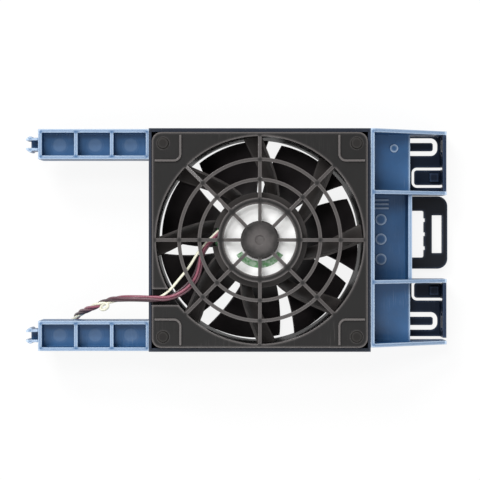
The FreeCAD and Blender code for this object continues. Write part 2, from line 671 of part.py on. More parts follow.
def make_guard():
    """Finger guard: square plate with a crowned grille of rings and spokes and ridged corner pads."""
    body = add_body("finger_guard")
    size = "(fan_size / 2)"
    pad(body, "Plate", [rect(f"0-{size}", f"0-{size}", size, size)], FAN_TOP, GUARD_LOW)
    corners = [(sx * value(size), sy * value(size)) for sx, sy in signs()]
    soften(body, "PlateCorners", lambda edge: upright(edge, corners), "fan_corner")
    pocket(body, "Opening", [("0", "0", DUCT)], f"{FAN_TOP} - 1", f"{GUARD_LOW} + 1")
    holes = [(f"{sx}*{HOLE}", f"{sy}*{HOLE}", "hole_dia / 2") for sx, sy in signs()]
    pocket(body, "Holes", holes, f"{FAN_TOP} - 1", f"{GUARD_LOW} + 1")
    gate = rect(f"0-{size}-1", "lead_exit_y - lead_dia", f"0-{DUCT}*0.6", "lead_exit_y + 1.6*lead_dia")
    pocket(body, "LeadNotch", [gate], f"{FAN_TOP} - 1", f"{GUARD_LOW} + 1")
    edge = f"({size} - pad_size)"
    side = "(ridge_width)"
    ridges = []
    for sx, sy in signs():
        ridges.append([
            (f"{sx}*{edge}", f"{sy}*{edge}"), (f"{sx}*({size} - 1.2)", f"{sy}*{edge}"),
            (f"{sx}*({size} - 1.2)", f"{sy}*({edge} + {side})"),
            (f"{sx}*({edge} + {side})", f"{sy}*({edge} + {side})"),
            (f"{sx}*({edge} + {side})", f"{sy}*({size} - 1.2)"), (f"{sx}*{edge}", f"{sy}*({size} - 1.2)"),
        ])
    pad(body, "CornerRidges", ridges, GUARD_LOW, f"{GUARD_LOW} + ridge_height")
    inner = [(sx * value(f"{edge} + {side}"), sy * value(f"{edge} + {side}")) for sx, sy in signs()]
    soften(body, "RidgeInsides", lambda rim: upright(rim, inner), "2.6*ridge_width")
    outer = [(sx * value(edge), sy * value(edge)) for sx, sy in signs()]
    soften(body, "RidgeBends", lambda rim: upright(rim, outer), "3.6*ridge_width")
    rib_low = f"({GUARD_TOP} - guard_rib_depth)"
    spoke = [
        ("guard_disc_dia / 2 - 1", rib_low), (CROWN, rib_low), (DUCT, FAN_TOP),
        (f"{DUCT} + 0.9", FAN_TOP), (f"{DUCT} + 0.9", GUARD_LOW), (DUCT, GUARD_LOW),
        (CROWN, GUARD_TOP), ("guard_disc_dia / 2 - 1", GUARD_TOP),
    ]
    arm = side_pad(body, "Spoke", [spoke], "guard_rib")
    polar(body, "Spokes", [arm], "guard_spokes")
    for name, middle, width in (
        ("HubRing", "guard_hub_dia / 2", "guard_hub_width"),
        ("RingA", "guard_ring_a / 2", "guard_rib"),
        ("RingB", "guard_ring_b / 2", "guard_rib"),
    ):
        loop = [
            (f"{middle} - {width} / 2", rib_low), (f"{middle} + {width} / 2", rib_low),
            (f"{middle} + {width} / 2", GUARD_TOP), (f"{middle} - {width} / 2", GUARD_TOP),
        ]
        revolve(body, name, loop)
    disc = [
        ("0", rib_low), ("guard_disc_dia / 2", rib_low), ("guard_disc_dia / 2", f"{GUARD_TOP} - 0.5"),
        ("guard_disc_dia / 2 - 0.8", GUARD_TOP), ("2.2", GUARD_TOP), ("1.6", f"{GUARD_TOP} - 0.5"),
        ("0", f"{GUARD_TOP} - 0.7"),
    ]
    revolve(body, "Disc", disc)
    return body


def make_rivet(name, sx, sy):
    """Push-in mounting pin: a domed head on the guard pad and a shank down to the carrier's rear lip."""
    body = add_body(name)
    shank = "(hole_dia / 2 - rivet_clear)"
    head = "(rivet_head / 2)"
    loop = [
        ("0", "0.3"), (shank, "0.3"), (shank, GUARD_LOW), (head, GUARD_LOW),
        (f"{head} - 0.5", f"{GUARD_LOW} + rivet_head_depth"), ("0", f"{GUARD_LOW} + rivet_head_depth"),
    ]
    revolve(body, "Pin", loop)
    body.setExpression(".Placement.Base.x", bound(f"{FAN_X} + {sx}*{HOLE}"))
    body.setExpression(".Placement.Base.y", bound(f"{sy}*{HOLE}"))
    return body


# ---------------------------------------------------------------- motor
def ring_body(name, inner, outer, low, high):
    """Plain ring or disc turned about the fan axis."""
    body = add_body(name)
    revolve(body, "Ring", rect(inner, low, outer, high))
    return body


def make_core():
    """Four-pole laminated stator stack with T-shaped teeth."""
    body = add_body("stator_core")
    low = f"({STATOR_MID} - stator_depth / 2)"
    high = f"({STATOR_MID} + stator_depth / 2)"
    bore = "(tube_dia / 2 + glue_gap)"
    pad(body, "Hub", [("0", "0", "yoke_core_dia / 2")], low, high)
    shoe = "(tooth_width * 1.9)"
    tooth = [
        ("0", "0 - tooth_width / 2"), (f"{STATOR_OUT} * 0.8", "0 - tooth_width / 2"),
        (f"{STATOR_OUT} * 0.86", f"0 - {shoe}"), (f"{STATOR_OUT} + 1", f"0 - {shoe}"),
        (f"{STATOR_OUT} + 1", shoe), (f"{STATOR_OUT} * 0.86", shoe),
        (f"{STATOR_OUT} * 0.8", "tooth_width / 2"), ("0", "tooth_width / 2"),
    ]
    arm = pad(body, "Tooth", [tooth], low, high)
    polar(body, "Teeth", [arm], "4")
    revolve(body, "Round", rect(STATOR_OUT, f"{low} - 1", f"{STATOR_OUT} * 1.6", f"{high} + 1"), True)
    pocket(body, "Bore", [("0", "0", bore)], f"{low} - 1", f"{high} + 1")
    return body


def make_coil(name, turn):
    """One copper winding round a stator tooth."""
    body = add_body(name)
    low = f"({STATOR_MID} - stator_depth / 2 - 1.6)"
    high = f"({STATOR_MID} + stator_depth / 2 + 1.6)"
    start = "(yoke_core_dia / 2 + 0.2)"
    end = f"({STATOR_OUT} * 0.8 - 0.2)"
    half = "(tooth_width / 2 + 1.5)"
    gap = "(tooth_width / 2 + glue_gap)"
    pad(body, "Bundle", [rect(start, f"0-{half}", end, half)], low, high)
    core = rect(f"0-{gap}", f"{low} + 1.55", gap, f"{high} - 1.55")
    side_pocket(body, "ToothWay", [core], f"4*{STATOR_OUT}", "YZ_Plane")
    body.Placement.Rotation = FreeCAD.Rotation(V(0, 0, 1), turn)
    return body


def make_impeller():
    """Cup-shaped hub with swept, twisted and cambered blades trimmed to the running circle."""
    hub_low = value(HUB_LOW)
    hub = Part.makeCylinder(value("hub_dia / 2"), value("hub_depth"), V(0, 0, hub_low))
    rim = [e for e in hub.Edges if abs(e.BoundBox.ZMax - hub_low) < 0.01 and e.BoundBox.XLength > 1]
    hub = hub.makeFillet(1.6, rim)
    blade = impeller_blade()
    count = int(round(value("blade_count")))
    blades = []
    for i in range(count):
        copy = blade.copy()
        copy.rotate(V(0, 0, 0), V(0, 0, 1), value("blade_phase") + 360.0 * i / count)
        blades.append(copy)
    solid = hub.multiFuse(blades)
    tip = Part.makeCylinder(value(TIP), value(GUARD_TOP))
    solid = solid.common(tip)
    room = Part.makeCylinder(value(HUB_IN), value(GUARD_TOP), V(0, 0, value(YOKE_LOW)))
    solid = solid.cut(room)
    feature = doc.addObject("Part::Feature", "impeller")
    feature.Label = "impeller"
    feature.Shape = solid.Solids[0] if len(solid.Solids) == 1 else solid
    feature.setExpression(".Placement.Base.x", bound(FAN_X))
    return feature


def impeller_blade():
    """Loft one blade through flat sections, each tangent to a cylinder about the axis."""
    root = value(f"{HUB_IN} - 2")
    tip = value(f"{TIP} + 3")
    low = value("lip + blade_start")
    depth = value("blade_depth")
    wrap = math.radians(value("blade_wrap"))
    sections = []
    for step in range(3):
        share = step / 2
        radius = root + (tip - root) * share
        thick = value("blade_root_thick") * (1 - share) + value("blade_tip_thick") * share
        rows = ([], [])
        for index in range(4):
            along = index / 3
            bow = along + 0.35 * along * (1 - along)
            angle = wrap * (0.5 - bow)
            height = low + depth * (0.06 * share + along * (1 - 0.1 * share))
            slope_y = -radius * wrap * (1 + 0.35 * (1 - 2 * along))
            slope = math.hypot(slope_y, depth)
            normal = (-depth / slope, slope_y / slope)
            half = 0.5 * thick * (0.4 + 2.4 * along * (1 - along))
            flat = radius * math.tan(angle)
            for row, side in zip(rows, (1, -1)):
                row.append(V(radius, flat + side * half * normal[0], height + side * half * normal[1]))
        wire = closed_section(*rows)
        wire.rotate(V(0, 0, 0), V(0, 0, 1), -value("blade_sweep") * share)
        sections.append(wire)
    return Part.makeLoft(sections, True, False)


def make_motor():
    """Bearings, shaft, rotor yoke, magnet, stator, board and label."""
    nodes = [make_impeller()]
    shaft = "(shaft_dia / 2)"
    front_low = f"({BASE_LOW} - bearing_depth)"
    yoke = add_body("rotor_yoke")
    revolve(yoke, "Shell", [
        (shaft, YOKE_LOW), (YOKE_OUT, YOKE_LOW), (YOKE_OUT, HUB_TOP), (YOKE_IN, HUB_TOP),
        (YOKE_IN, f"{YOKE_LOW} + yoke_wall"), ("shaft_dia", f"{YOKE_LOW} + yoke_wall"),
        ("shaft_dia", f"{YOKE_LOW} + yoke_wall + 1.6"), (shaft, f"{YOKE_LOW} + yoke_wall + 1.6"),
    ])
    nodes.append(yoke)
    nodes.append(ring_body("magnet_ring", MAGNET_IN, MAGNET_OUT, f"{HUB_TOP} - magnet_depth", HUB_TOP))
    rod = add_body("shaft")
    neck = f"({BASE_LOW} + 0.4)"
    revolve(rod, "Rod", [
        ("0", YOKE_LOW), (shaft, YOKE_LOW), (shaft, neck), (f"{shaft} - 0.4", neck),
        (f"{shaft} - 0.4", f"{neck} + clip_thick + 0.1"), (shaft, f"{neck} + clip_thick + 0.1"),
        (shaft, f"{neck} + 1.1"), ("0", f"{neck} + 1.1"),
    ])
    nodes.append(rod)
    clip = ring_body("retaining_clip", f"({shaft} - 0.35)", "(shaft_dia)", neck, f"{neck} + clip_thick")
    pocket(clip, "ClipMouth", [rect("0", "0-0.9", "shaft_dia + 1", "0.9")], f"{neck} - 1", f"{neck} + 1")
    nodes.append(clip)
    tube = ring_body("bearing_tube", BEARING_OUT, "(tube_dia / 2)", TUBE_LOW, BOARD_TOP)
    nodes.append(tube)
    nodes.append(ring_body("bearing_front", f"({shaft} + run_clear)", BEARING_OUT, front_low, BASE_LOW))
    rear_high = f"({TUBE_LOW} + bearing_depth)"
    nodes.append(ring_body("bearing_rear", f"({shaft} + run_clear)", BEARING_OUT, TUBE_LOW, rear_high))
    nodes.append(make_core())
    for number in range(4):
        nodes.append(make_coil(f"stator_coil_{number + 1}", 90 * number))
    board_out = "(motor_dia / 2 - skirt_wall - 0.2)"
    board_in = "(tube_dia / 2 + glue_gap)"
    nodes.append(ring_body("circuit_board", board_in, board_out, f"{BOARD_TOP} - board_thick", BOARD_TOP))
    nodes.append(ring_body("motor_label", "0", "(label_dia / 2)", MOTOR_TOP, f"{MOTOR_TOP} + label_thick"))
    return nodes


# ---------------------------------------------------------------- lead and plug
def route_edges(points, share=0.45):
    """Turn route points into straight runs joined by tangent arcs; print every arc's radius."""
    edges = []
    radii = []
    here = points[0]
    for before, corner, after in zip(points, points[1:], points[2:]):
        arrive = (corner - before).normalize()
        leave = (after - corner).normalize()
        half_turn = math.acos(max(-1.0, min(1.0, arrive.dot(leave)))) / 2
        trim = share * min((corner - before).Length, (after - corner).Length)
        radius = trim / math.tan(half_turn)
        radii.append(round(radius, 1))
        start = corner - arrive * trim
        end = corner + leave * trim
        inward = (leave - arrive).normalize()
        middle = corner + inward * (radius / math.cos(half_turn) - radius)
        edges.append(Part.LineSegment(here, start).toShape())
        edges.append(Part.Arc(start, middle, end).toShape())
        here = end
    edges.append(Part.LineSegment(here, points[-1]).toShape())
    return edges, radii


def make_tube(name, points):
    """Sweep the lead's round section along a route."""
    edges, radii = route_edges(points)
    path = Part.Wire(edges)
    radius = value("lead_dia / 2")
    ring = Part.Circle(points[0], points[1] - points[0], radius)
    solid = path.makePipeShell([Part.Wire([ring.toShape()])], True, True)
    length = sum(edge.Length for edge in edges)
    print(f"{name}: length {length:.1f}, radii {radii}, "
          f"volume ratio {solid.Volume / (math.pi * radius ** 2 * length):.4f}")
    feature = doc.addObject("Part::Feature", name)
    feature.Label = name
    feature.Shape = solid
    feature.setExpression(".Placement.Base.x", bound(FAN_X))
    return feature


def make_lead():
    """Lead from the motor to the bay's edge, the free lead below the arm, and its plug."""
    exit_y = value("lead_exit_y")
    height = value(LEAD_Z)
    edge_x = -value(BAY_X)
    motor = value("motor_dia / 2")
    beside = value(f"arm_width - {BAY_Y}")
    board = value(BOARD_TOP) + value("lead_dia / 2") + 0.1
    inner = [
        V(3.2 - motor, 3.3, board), V(-4.2 - motor, -3.4, height - 0.8),
        V(edge_x + 18.8, exit_y + 11.9, height), V(edge_x + 13.9, exit_y + 6.1, height),
        V(edge_x + 9.3, exit_y + 1.9, height), V(edge_x + 4.5, exit_y - 0.2, height + 0.35),
        V(edge_x, exit_y, height),
    ]
    outer = [
        V(edge_x, exit_y, height), V(edge_x - 7.3, exit_y + 0.3, height - 0.55),
        V(edge_x - 16.3, beside + 9.45, 34.2), V(edge_x - 25.7, beside + 5.25, 25.0),
        V(edge_x - 32.3, beside + 2.45, 15.0), V(edge_x - 35.3, beside - 2.15, 6.2),
        V(edge_x - 40.5, beside - 5.35, 3.1),
    ]
    nodes = [make_tube("lead_inner", inner), make_tube("lead_free", outer)]
    last = outer[-1] - outer[-2]
    turn = math.degrees(math.atan2(last.y, last.x))
    plug = doc.addObject("PartDesign::Body", "plug_housing")
    plug.Label = "plug_housing"
    width = "(plug_width / 2)"
    pad(plug, "Block", [rect("0", f"0-{width}", "plug_length", width)], "0", "plug_height")
    cells = []
    for i in range(4):
        middle = f"({i} - 1.5)*contact_pitch"
        side = "(contact_size / 2 + 0.1)"
        cells.append(rect(f"{middle} - {side}", "plug_height / 2 - contact_size / 2 - 0.1",
                          f"{middle} + {side}", "plug_height / 2 + contact_size / 2 + 0.1"))
    side_pocket(plug, "Cavities", cells, "2*(plug_length - 1.5)", "YZ_Plane", "plug_length")
    keys = [rect("1.5", f"({way}*2.4 - 0.5)", "plug_length", f"({way}*2.4 + 0.5)") for way in (1, -1)]
    pad(plug, "Keys", keys, "plug_height", "plug_height + 0.8")
    plug.Placement = FreeCAD.Placement(V(0, 0, 0), FreeCAD.Rotation(V(0, 0, 1), turn))
    plug.setExpression(".Placement.Base.x", bound(f"{FAN_X} - {BAY_X} - 40.65"))
    plug.Placement.Base.y = outer[-1].y - 0.1
    plug.Placement.Base.z = 0.1
    nodes.append(plug)
    for i in range(4):
        pin = doc.addObject("PartDesign::Body", f"plug_contact_{i + 1}")
        pin.Label = f"plug_contact_{i + 1}"
        middle = f"({i} - 1.5)*contact_pitch"
        side = "(contact_size / 2)"
        pad(pin, "Blade", [rect("1.5", f"{middle} - {side}", "plug_length - 0.6", f"{middle} + {side}")],
            "plug_height / 2 - contact_size / 2", "plug_height / 2 + contact_size / 2")
        pin.Placement = plug.Placement
        pin.setExpression(".Placement.Base.x", bound(f"{FAN_X} - {BAY_X} - 40.65"))
        nodes.append(pin)
    return nodes


def export(nodes):
    """Check every object of the document, then write one file for each piece."""
    doc.recompute()
    for item in doc.Objects:
        if "Invalid" in item.State or "Error" in item.State:
            raise RuntimeError(f"{item.Name} failed: {item.State}")
    for node in nodes:
        shape = node.Shape
        if shape.isNull() or not shape.isValid() or not shape.Solids:
            raise RuntimeError(f"{node.Label} has no valid solid")
    os.makedirs("parts", exist_ok=True)
    for node in nodes:
        node.Shape.exportStep(f"parts/{node.Label}.step")
        box = node.Shape.BoundBox
        print(f"{node.Label}: {len(node.Shape.Solids)} solid, {node.Shape.Volume:.0f} mm3, "
              f"x {box.XMin:.2f}..{box.XMax:.2f} y {box.YMin:.2f}..{box.YMax:.2f} "
              f"z {box.ZMin:.2f}..{box.ZMax:.2f}")


def main():
    """Build every piece and write it."""
    plate_hi = (f"({DIV_HI_OUT} + plate_clear)", f"({WALL_HI} - plate_clear)")
    plate_lo = (f"({WALL_LO} + plate_gap)", f"({DIV_LO_OUT} - plate_clear)")
    nodes = [make_bay(), make_arm("upper_arm", 1), make_arm("lower_arm", -1), make_tray()]
    finger_hi = f"({WALL_HI} - plate_clear - 0.6 - finger_width / 2)"
    tab_hi = f"({DIV_HI_OUT} + 2 + tab_width / 2)"
    finger_lo = f"({WALL_LO} + plate_gap + 2.9 + finger_width / 2)"
    tab_lo = f"({DIV_LO_OUT} - 1.3 - tab_width / 2 + 2)"
    nodes.append(make_plate("latch_plate_upper", *plate_hi, finger_hi, tab_hi, 1))
    nodes.append(make_plate("latch_plate_lower", *plate_lo, finger_lo, tab_lo, -1))
    nodes += [make_lever(), make_lever_pin(), make_housing(), make_stator(), make_guard()]
    for number, (sx, sy) in enumerate(signs(), start=1):
        nodes.append(make_rivet(f"mount_pin_{number}", sx, sy))
    nodes += make_motor()
    nodes += make_lead()
    export(nodes)


main()
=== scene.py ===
"""Looks of a server fan module: a blue sliding carrier, a black axial fan with its guard, and its lead.

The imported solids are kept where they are. This script gives them rounded edges and moulded, stamped and
wound finishes, and replaces the two lead solids by four strands that follow the lead's own line.
"""

from __future__ import annotations

import logging
import math
from dataclasses import dataclass, replace
from enum import Enum
from typing import Any, ClassVar, Sequence

import bpy
import numpy as np
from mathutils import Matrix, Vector

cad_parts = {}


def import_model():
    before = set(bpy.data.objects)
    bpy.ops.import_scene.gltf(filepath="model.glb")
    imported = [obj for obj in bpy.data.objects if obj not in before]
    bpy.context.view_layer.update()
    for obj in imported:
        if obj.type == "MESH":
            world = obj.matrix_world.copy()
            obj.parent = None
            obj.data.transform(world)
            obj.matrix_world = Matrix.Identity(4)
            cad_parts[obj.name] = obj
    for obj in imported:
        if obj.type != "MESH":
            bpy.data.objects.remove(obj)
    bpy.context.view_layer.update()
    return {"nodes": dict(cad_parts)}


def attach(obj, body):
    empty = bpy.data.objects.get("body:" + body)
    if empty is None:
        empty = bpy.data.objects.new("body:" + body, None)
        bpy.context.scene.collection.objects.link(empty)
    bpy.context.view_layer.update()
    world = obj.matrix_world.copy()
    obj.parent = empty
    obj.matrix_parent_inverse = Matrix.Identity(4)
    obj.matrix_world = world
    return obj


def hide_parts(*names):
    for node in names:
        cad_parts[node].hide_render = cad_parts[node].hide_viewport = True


log = logging.getLogger("fan_module")

Colour = tuple[float, float, float]
Point = tuple[float, float, float]

FAN_X = 0.00845
"""Distance from the module's origin to the fan's axis, along the slide, in metres."""
NUMBER, COLOUR, VECTOR = "NodeSocketFloat", "NodeSocketColor", "NodeSocketVector"
GREY, ZERO = (0.5, 0.5, 0.5, 1.0), (0.0, 0.0, 0.0)
MIX_FIRST, MIX_SECOND, MIX_RESULT = 6, 7, 2
"""Numbers of a Mix node's colour sockets, which come after those for numbers and vectors."""


def linear(red: int, green: int, blue: int) -> Colour:
    """Turn an 8-bit display colour into the linear one that a shader socket holds.

    Args:
        red: red, 0 to 255.
        green: green, 0 to 255.
        blue: blue, 0 to 255.

    Returns:
        The three linear values, 0 to 1.
    """
    def one(level: int) -> float:
        """The display curve undone for one channel."""
        share = level / 255
        return share / 12.92 if share <= 0.04045 else ((share + 0.055) / 1.055) ** 2.4

    return one(red), one(green), one(blue)


class Flow(Enum):
    """Which way the fine lines of a finish run: how much its coordinates are squeezed each way."""

    ALONG_X = (1.0, 0.04, 1.0)
    ALONG_Y = (0.04, 1.0, 1.0)


# ---- Laying nodes ----


class Recipe:
    """A small helper that lays nodes into a node tree and wires them."""

    def __init__(self, tree: bpy.types.NodeTree) -> None:
        """Keep the tree that the nodes go into."""
        self.tree = tree

    def feed(self, target: bpy.types.NodeSocket, source: Any) -> None:
        """Wire source into target, or set target to it where it is a plain value.

        Args:
            target: the input socket.
            source: an output socket, a number, or a colour or vector.
        """
        if isinstance(source, bpy.types.NodeSocket):
            self.tree.links.new(source, target)
        elif isinstance(source, (int, float)):
            target.default_value = source
        else:
            values = tuple(source)
            lacks_alpha = len(target.default_value) == 4 and len(values) == 3
            target.default_value = values + (1.0,) if lacks_alpha else values

    def lay(self, kind: str, *given: Any, named: dict[str | int, Any] | None = None,
            **settings: Any) -> bpy.types.NodeOutputs:
        """Add one node, feed its inputs and set its plain properties.

        Args:
            kind: the node's bpy type name.
            given: what its first inputs take, in order.
            named: what its other inputs take, by name or number. None leaves one as it is.
            settings: property values by name.

        Returns:
            Its outputs.
        """
        node = self.tree.nodes.new(kind)
        for name, value in settings.items():
            setattr(node, name, value)
        for slot, source in [*enumerate(given), *(named or {}).items()]:
            if source is not None:
                self.feed(node.inputs[slot], source)
        return node.outputs

    def maths(self, operation: str, *given: Any, clamp: bool = False) -> bpy.types.NodeSocket:
        """Lay a Math node on numbers or sockets, with its result held between 0 and 1 where clamp says."""
        return self.lay("ShaderNodeMath", *given, operation=operation, use_clamp=clamp)[0]

    def split(self, vector: Any) -> bpy.types.NodeOutputs:
        """A vector's X, Y and Z."""
        return self.lay("ShaderNodeSeparateXYZ", vector)

    def upward(self) -> bpy.types.NodeSocket:
        """How far the surface looks up: the normal's Z."""
        return self.split(self.lay("ShaderNodeNewGeometry")["Normal"])["Z"]

    def hypotenuse(self, first: Any, second: Any) -> bpy.types.NodeSocket:
        """The square root of the sum of two squares."""
        squares = (self.maths("MULTIPLY", side, side) for side in (first, second))
        return self.maths("SQRT", self.maths("ADD", *squares))

    def about_axis(self, where: Any) -> tuple[bpy.types.NodeOutputs, bpy.types.NodeSocket]:
        """Measure from the fan's axis.

        Args:
            where: the coordinate.

        Returns:
            X, Y and Z from the axis, and the distance from it.
        """
        moved = self.lay("ShaderNodeVectorMath", where, (FAN_X, 0.0, 0.0), operation="SUBTRACT")
        place = self.split(moved[0])
        return place, self.hypotenuse(place["X"], place["Y"])

    def mix(self, amount: Any, first: Any, second: Any) -> bpy.types.NodeSocket:
        """Lay a colour Mix node, where the amount is the second colour's share."""
        colours = {MIX_FIRST: first, MIX_SECOND: second}
        return self.lay("ShaderNodeMix", amount, named=colours, data_type="RGBA")[MIX_RESULT]

    def ramp(self, value: Any, low: float, high: float, to_low: float = 0.0, to_high: float = 1.0,
             smooth: bool = False) -> bpy.types.NodeSocket:
        """Lay a Map Range node, held at its ends.

        Args:
            value: the number or socket to map.
            low: value that becomes to_low.
            high: value that becomes to_high.
            to_low: result at low.
            to_high: result at high.
            smooth: whether it eases in and out.

        Returns:
            The mapped value.
        """
        ease = "SMOOTHSTEP" if smooth else "LINEAR"
        return self.lay("ShaderNodeMapRange", value, low, high, to_low, to_high,
                        interpolation_type=ease, clamp=True)[0]

    def noise(self, where: Any, scale: Any, detail: float = 2.0,
              rough: float = 0.5) -> bpy.types.NodeSocket:
        """Lay a Noise Texture of so many lumps a metre and octaves, the finer ones as strong as rough."""
        named = {"Vector": where, "Scale": scale, "Detail": detail, "Roughness": rough}
        return self.lay("ShaderNodeTexNoise", named=named, noise_dimensions="3D")[0]

    def bump(self, height: Any, distance: Any, strength: float = 1.0,
             normal: Any = None) -> bpy.types.NodeSocket:
        """Lay a Bump node: a height of 1 stands for the distance, and strength is the share that shows."""
        named = {"Strength": strength, "Distance": distance, "Height": height, "Normal": normal}
        return self.lay("ShaderNodeBump", named=named)[0]


class Group(Recipe):
    """A shared effect being made: a shader group with named sockets."""

    def __init__(self, name: str, gives: dict[str, str], **takes: Any) -> None:
        """Make the empty group.

        Args:
            name: the group's name.
            gives: name and kind of each output.
            takes: name and usual value of each input: a number, a colour of four, or a vector of three.
        """
        super().__init__(bpy.data.node_groups.new(name, "ShaderNodeTree"))
        for label, usual in takes.items():
            kind = NUMBER if isinstance(usual, float) else COLOUR if len(usual) == 4 else VECTOR
            socket = self.tree.interface.new_socket(label, in_out="INPUT", socket_type=kind)
            socket.default_value = usual
        for label, kind in gives.items():
            self.tree.interface.new_socket(label, in_out="OUTPUT", socket_type=kind)
        self.took = self.lay("NodeGroupInput")

    def give(self, **results: Any) -> bpy.types.NodeTree:
        """Wire each result to the output of its name, and hand over the finished group."""
        self.lay("NodeGroupOutput", named=results)
        return self.tree


# ---- Shared effects: each puts out only masks, colours, values and normals ----


class Effects:
    """The shared effects, each built once as a group."""

    TONE_SCALES: ClassVar[tuple[float, float]] = (55.0, 420.0)
    """Lumps for each metre of the wide and the near changes of tone."""
    RUB_SCALE: ClassVar[float] = 90.0
    """Patches of rubbed lines for each metre."""
    DUST_SCALE: ClassVar[float] = 160.0
    """Patches of dust for each metre."""
    DUST: ClassVar[Colour] = (0.34, 0.33, 0.31)
    MARK_LINE: ClassVar[float] = 0.00018
    """How far an ejector mark's ring fades, in metres."""
    MARK_FADE: ClassVar[float] = 0.0012
    """How far inside its ring an ejector mark fades, in metres."""
    MOTTLE_SCALE: ClassVar[float] = 260.0
    """Lumps for each metre at the edge of a round patch."""

    def __init__(self) -> None:
        """Build every group."""
        self.edge = self._edge()
        self.grain = self._grain()
        self.drift = self._drift()
        self.scratches = self._scratches()
        self.dust = self._dust()
        self.marks = self._marks()
        self.patch = self._patch()

    def _edge(self) -> bpy.types.NodeTree:
        """Rounded edges and a painted highlight on rims: the normal rounded over Radius, and the highlight's
        mask.

        The mask is high on thin rims and near corners, where the solid is less than Depth thick behind the
        face, and fades where walls closer than Reach shade the face, so that the painted highlight is weaker
        in recesses.

        Returns:
            The group.
        """
        gives = {"Mask": NUMBER, "Normal": VECTOR}
        g = Group("rim_highlight_and_bevel", gives, Radius=0.0003, Depth=0.0012, Reach=0.012)
        bevel = g.lay("ShaderNodeBevel", g.took["Radius"], samples=4)
        shade = "ShaderNodeAmbientOcclusion"
        behind = g.lay(shade, named={"Distance": g.took["Depth"]}, samples=8, inside=True, only_local=True)
        around = g.lay(shade, named={"Distance": g.took["Reach"]}, samples=8, only_local=True)
        thin = g.ramp(behind["AO"], 0.92, 0.55, 0.0, 1.0)
        open_face = g.ramp(around["AO"], 0.35, 0.75, 0.25, 1.0)
        return g.give(Mask=g.maths("MULTIPLY", thin, open_face), Normal=bevel[0])

    def _grain(self) -> bpy.types.NodeTree:
        """The fine spark-eroded grain of a moulded face, as a bumped normal.

        Returns:
            The group.
        """
        g = Group("moulded_grain", {"Normal": VECTOR}, Vector=ZERO, Size=0.0005, Depth=0.00002, Normal=ZERO)
        where, per_metre = g.took["Vector"], g.maths("DIVIDE", 1.0, g.took["Size"])
        fine = g.noise(where, per_metre, 3.0)
        named = {"Vector": where, "Scale": g.maths("MULTIPLY", per_metre, 0.8)}
        cells = g.lay("ShaderNodeTexVoronoi", named=named, feature="F1")
        pits = g.maths("MULTIPLY", cells["Distance"], 0.5)
        height = g.maths("ADD", g.maths("MULTIPLY", fine, 0.6), pits)
        return g.give(Normal=g.bump(height, g.took["Depth"], 0.6, g.took["Normal"]))

    def _drift(self) -> bpy.types.NodeTree:
        """Slow changes of tone across a moulding, as the melt cooled unevenly.

        Returns:
            The group, which puts out the changed colour, and the change from -1 to 1.
        """
        g = Group("tone_drift", {"Color": COLOUR, "Value": NUMBER}, Color=GREY, Vector=ZERO, Amount=0.1)
        where, (wide, near) = g.took["Vector"], self.TONE_SCALES
        slow = g.maths("MULTIPLY", g.noise(where, wide, 2.0, 0.55), 0.7)
        quick = g.maths("MULTIPLY", g.noise(where, near, 3.0, 0.6), 0.3)
        value = g.ramp(g.maths("ADD", slow, quick), 0.3, 0.7, -1.0, 1.0)
        factor = {"Scale": g.maths("MULTIPLY_ADD", value, g.took["Amount"], 1.0)}
        scaled = g.lay("ShaderNodeVectorMath", g.took["Color"], named=factor, operation="SCALE")
        return g.give(Color=scaled[0], Value=value)

    def _scratches(self) -> bpy.types.NodeTree:
        """Thin rubbed lines that run one way, as a mask.

        Returns:
            The group.
        """
        stretch = Flow.ALONG_X.value
        g = Group("rubbed_lines", {"Mask": NUMBER}, Vector=ZERO, Stretch=stretch, Fineness=2500.0)
        pulled = g.lay("ShaderNodeVectorMath", g.took["Vector"], g.took["Stretch"], operation="MULTIPLY")
        lines = g.ramp(g.noise(pulled[0], g.took["Fineness"]), 0.58, 0.72)
        patches = g.ramp(g.noise(g.took["Vector"], self.RUB_SCALE), 0.45, 0.65)
        return g.give(Mask=g.maths("MULTIPLY", lines, patches))

    def _dust(self) -> bpy.types.NodeTree:
        """Dust that has settled on faces that look up, thicker in patches.

        Returns:
            The group.
        """
        g = Group("settled_dust", {"Color": COLOUR}, Color=GREY, Vector=ZERO, Amount=0.05)
        up = g.ramp(g.upward(), 0.4, 1.0)
        patch = g.ramp(g.noise(g.took["Vector"], self.DUST_SCALE, 4.0, 0.65), 0.35, 0.75, 0.35, 1.0)
        amount = g.maths("MULTIPLY", g.maths("MULTIPLY", up, patch), g.took["Amount"])
        return g.give(Color=g.mix(amount, g.took["Color"], self.DUST))

    def _marks(self) -> bpy.types.NodeTree:
        """The round marks that a mould's ejector pins leave on faces that look up, as a ring and a disc. The
        disc also serves for a painted pool of light.

        There is one every Pitch metres along X from Start, at the distance Across from the middle line.
        A point's distance from the nearest one is the root of its squared steps along and across, and the
        ring lies where that is Radius.

        Returns:
            The group.
        """
        g = Group("ejector_marks", {"Ring": NUMBER, "Disc": NUMBER}, Vector=ZERO, Pitch=0.0155, Start=0.0,
                  Across=0.0, Radius=0.0022)
        place = g.split(g.took["Vector"])
        row = g.maths("SUBTRACT", place["X"], g.took["Start"])
        number = g.maths("ROUND", g.maths("DIVIDE", row, g.took["Pitch"]))
        step = g.maths("SUBTRACT", row, g.maths("MULTIPLY", number, g.took["Pitch"]))
        across = g.maths("SUBTRACT", g.maths("ABSOLUTE", place["Y"]), g.took["Across"])
        past = g.maths("SUBTRACT", g.hypotenuse(step, across), g.took["Radius"])
        up = g.ramp(g.upward(), 0.5, 0.8)
        ring = g.ramp(g.maths("ABSOLUTE", past), 0.0, self.MARK_LINE, 1.0, 0.0, smooth=True)
        disc = g.ramp(past, -self.MARK_FADE, 0.0, 1.0, 0.0, smooth=True)
        return g.give(Ring=g.maths("MULTIPLY", up, ring), Disc=g.maths("MULTIPLY", up, disc))

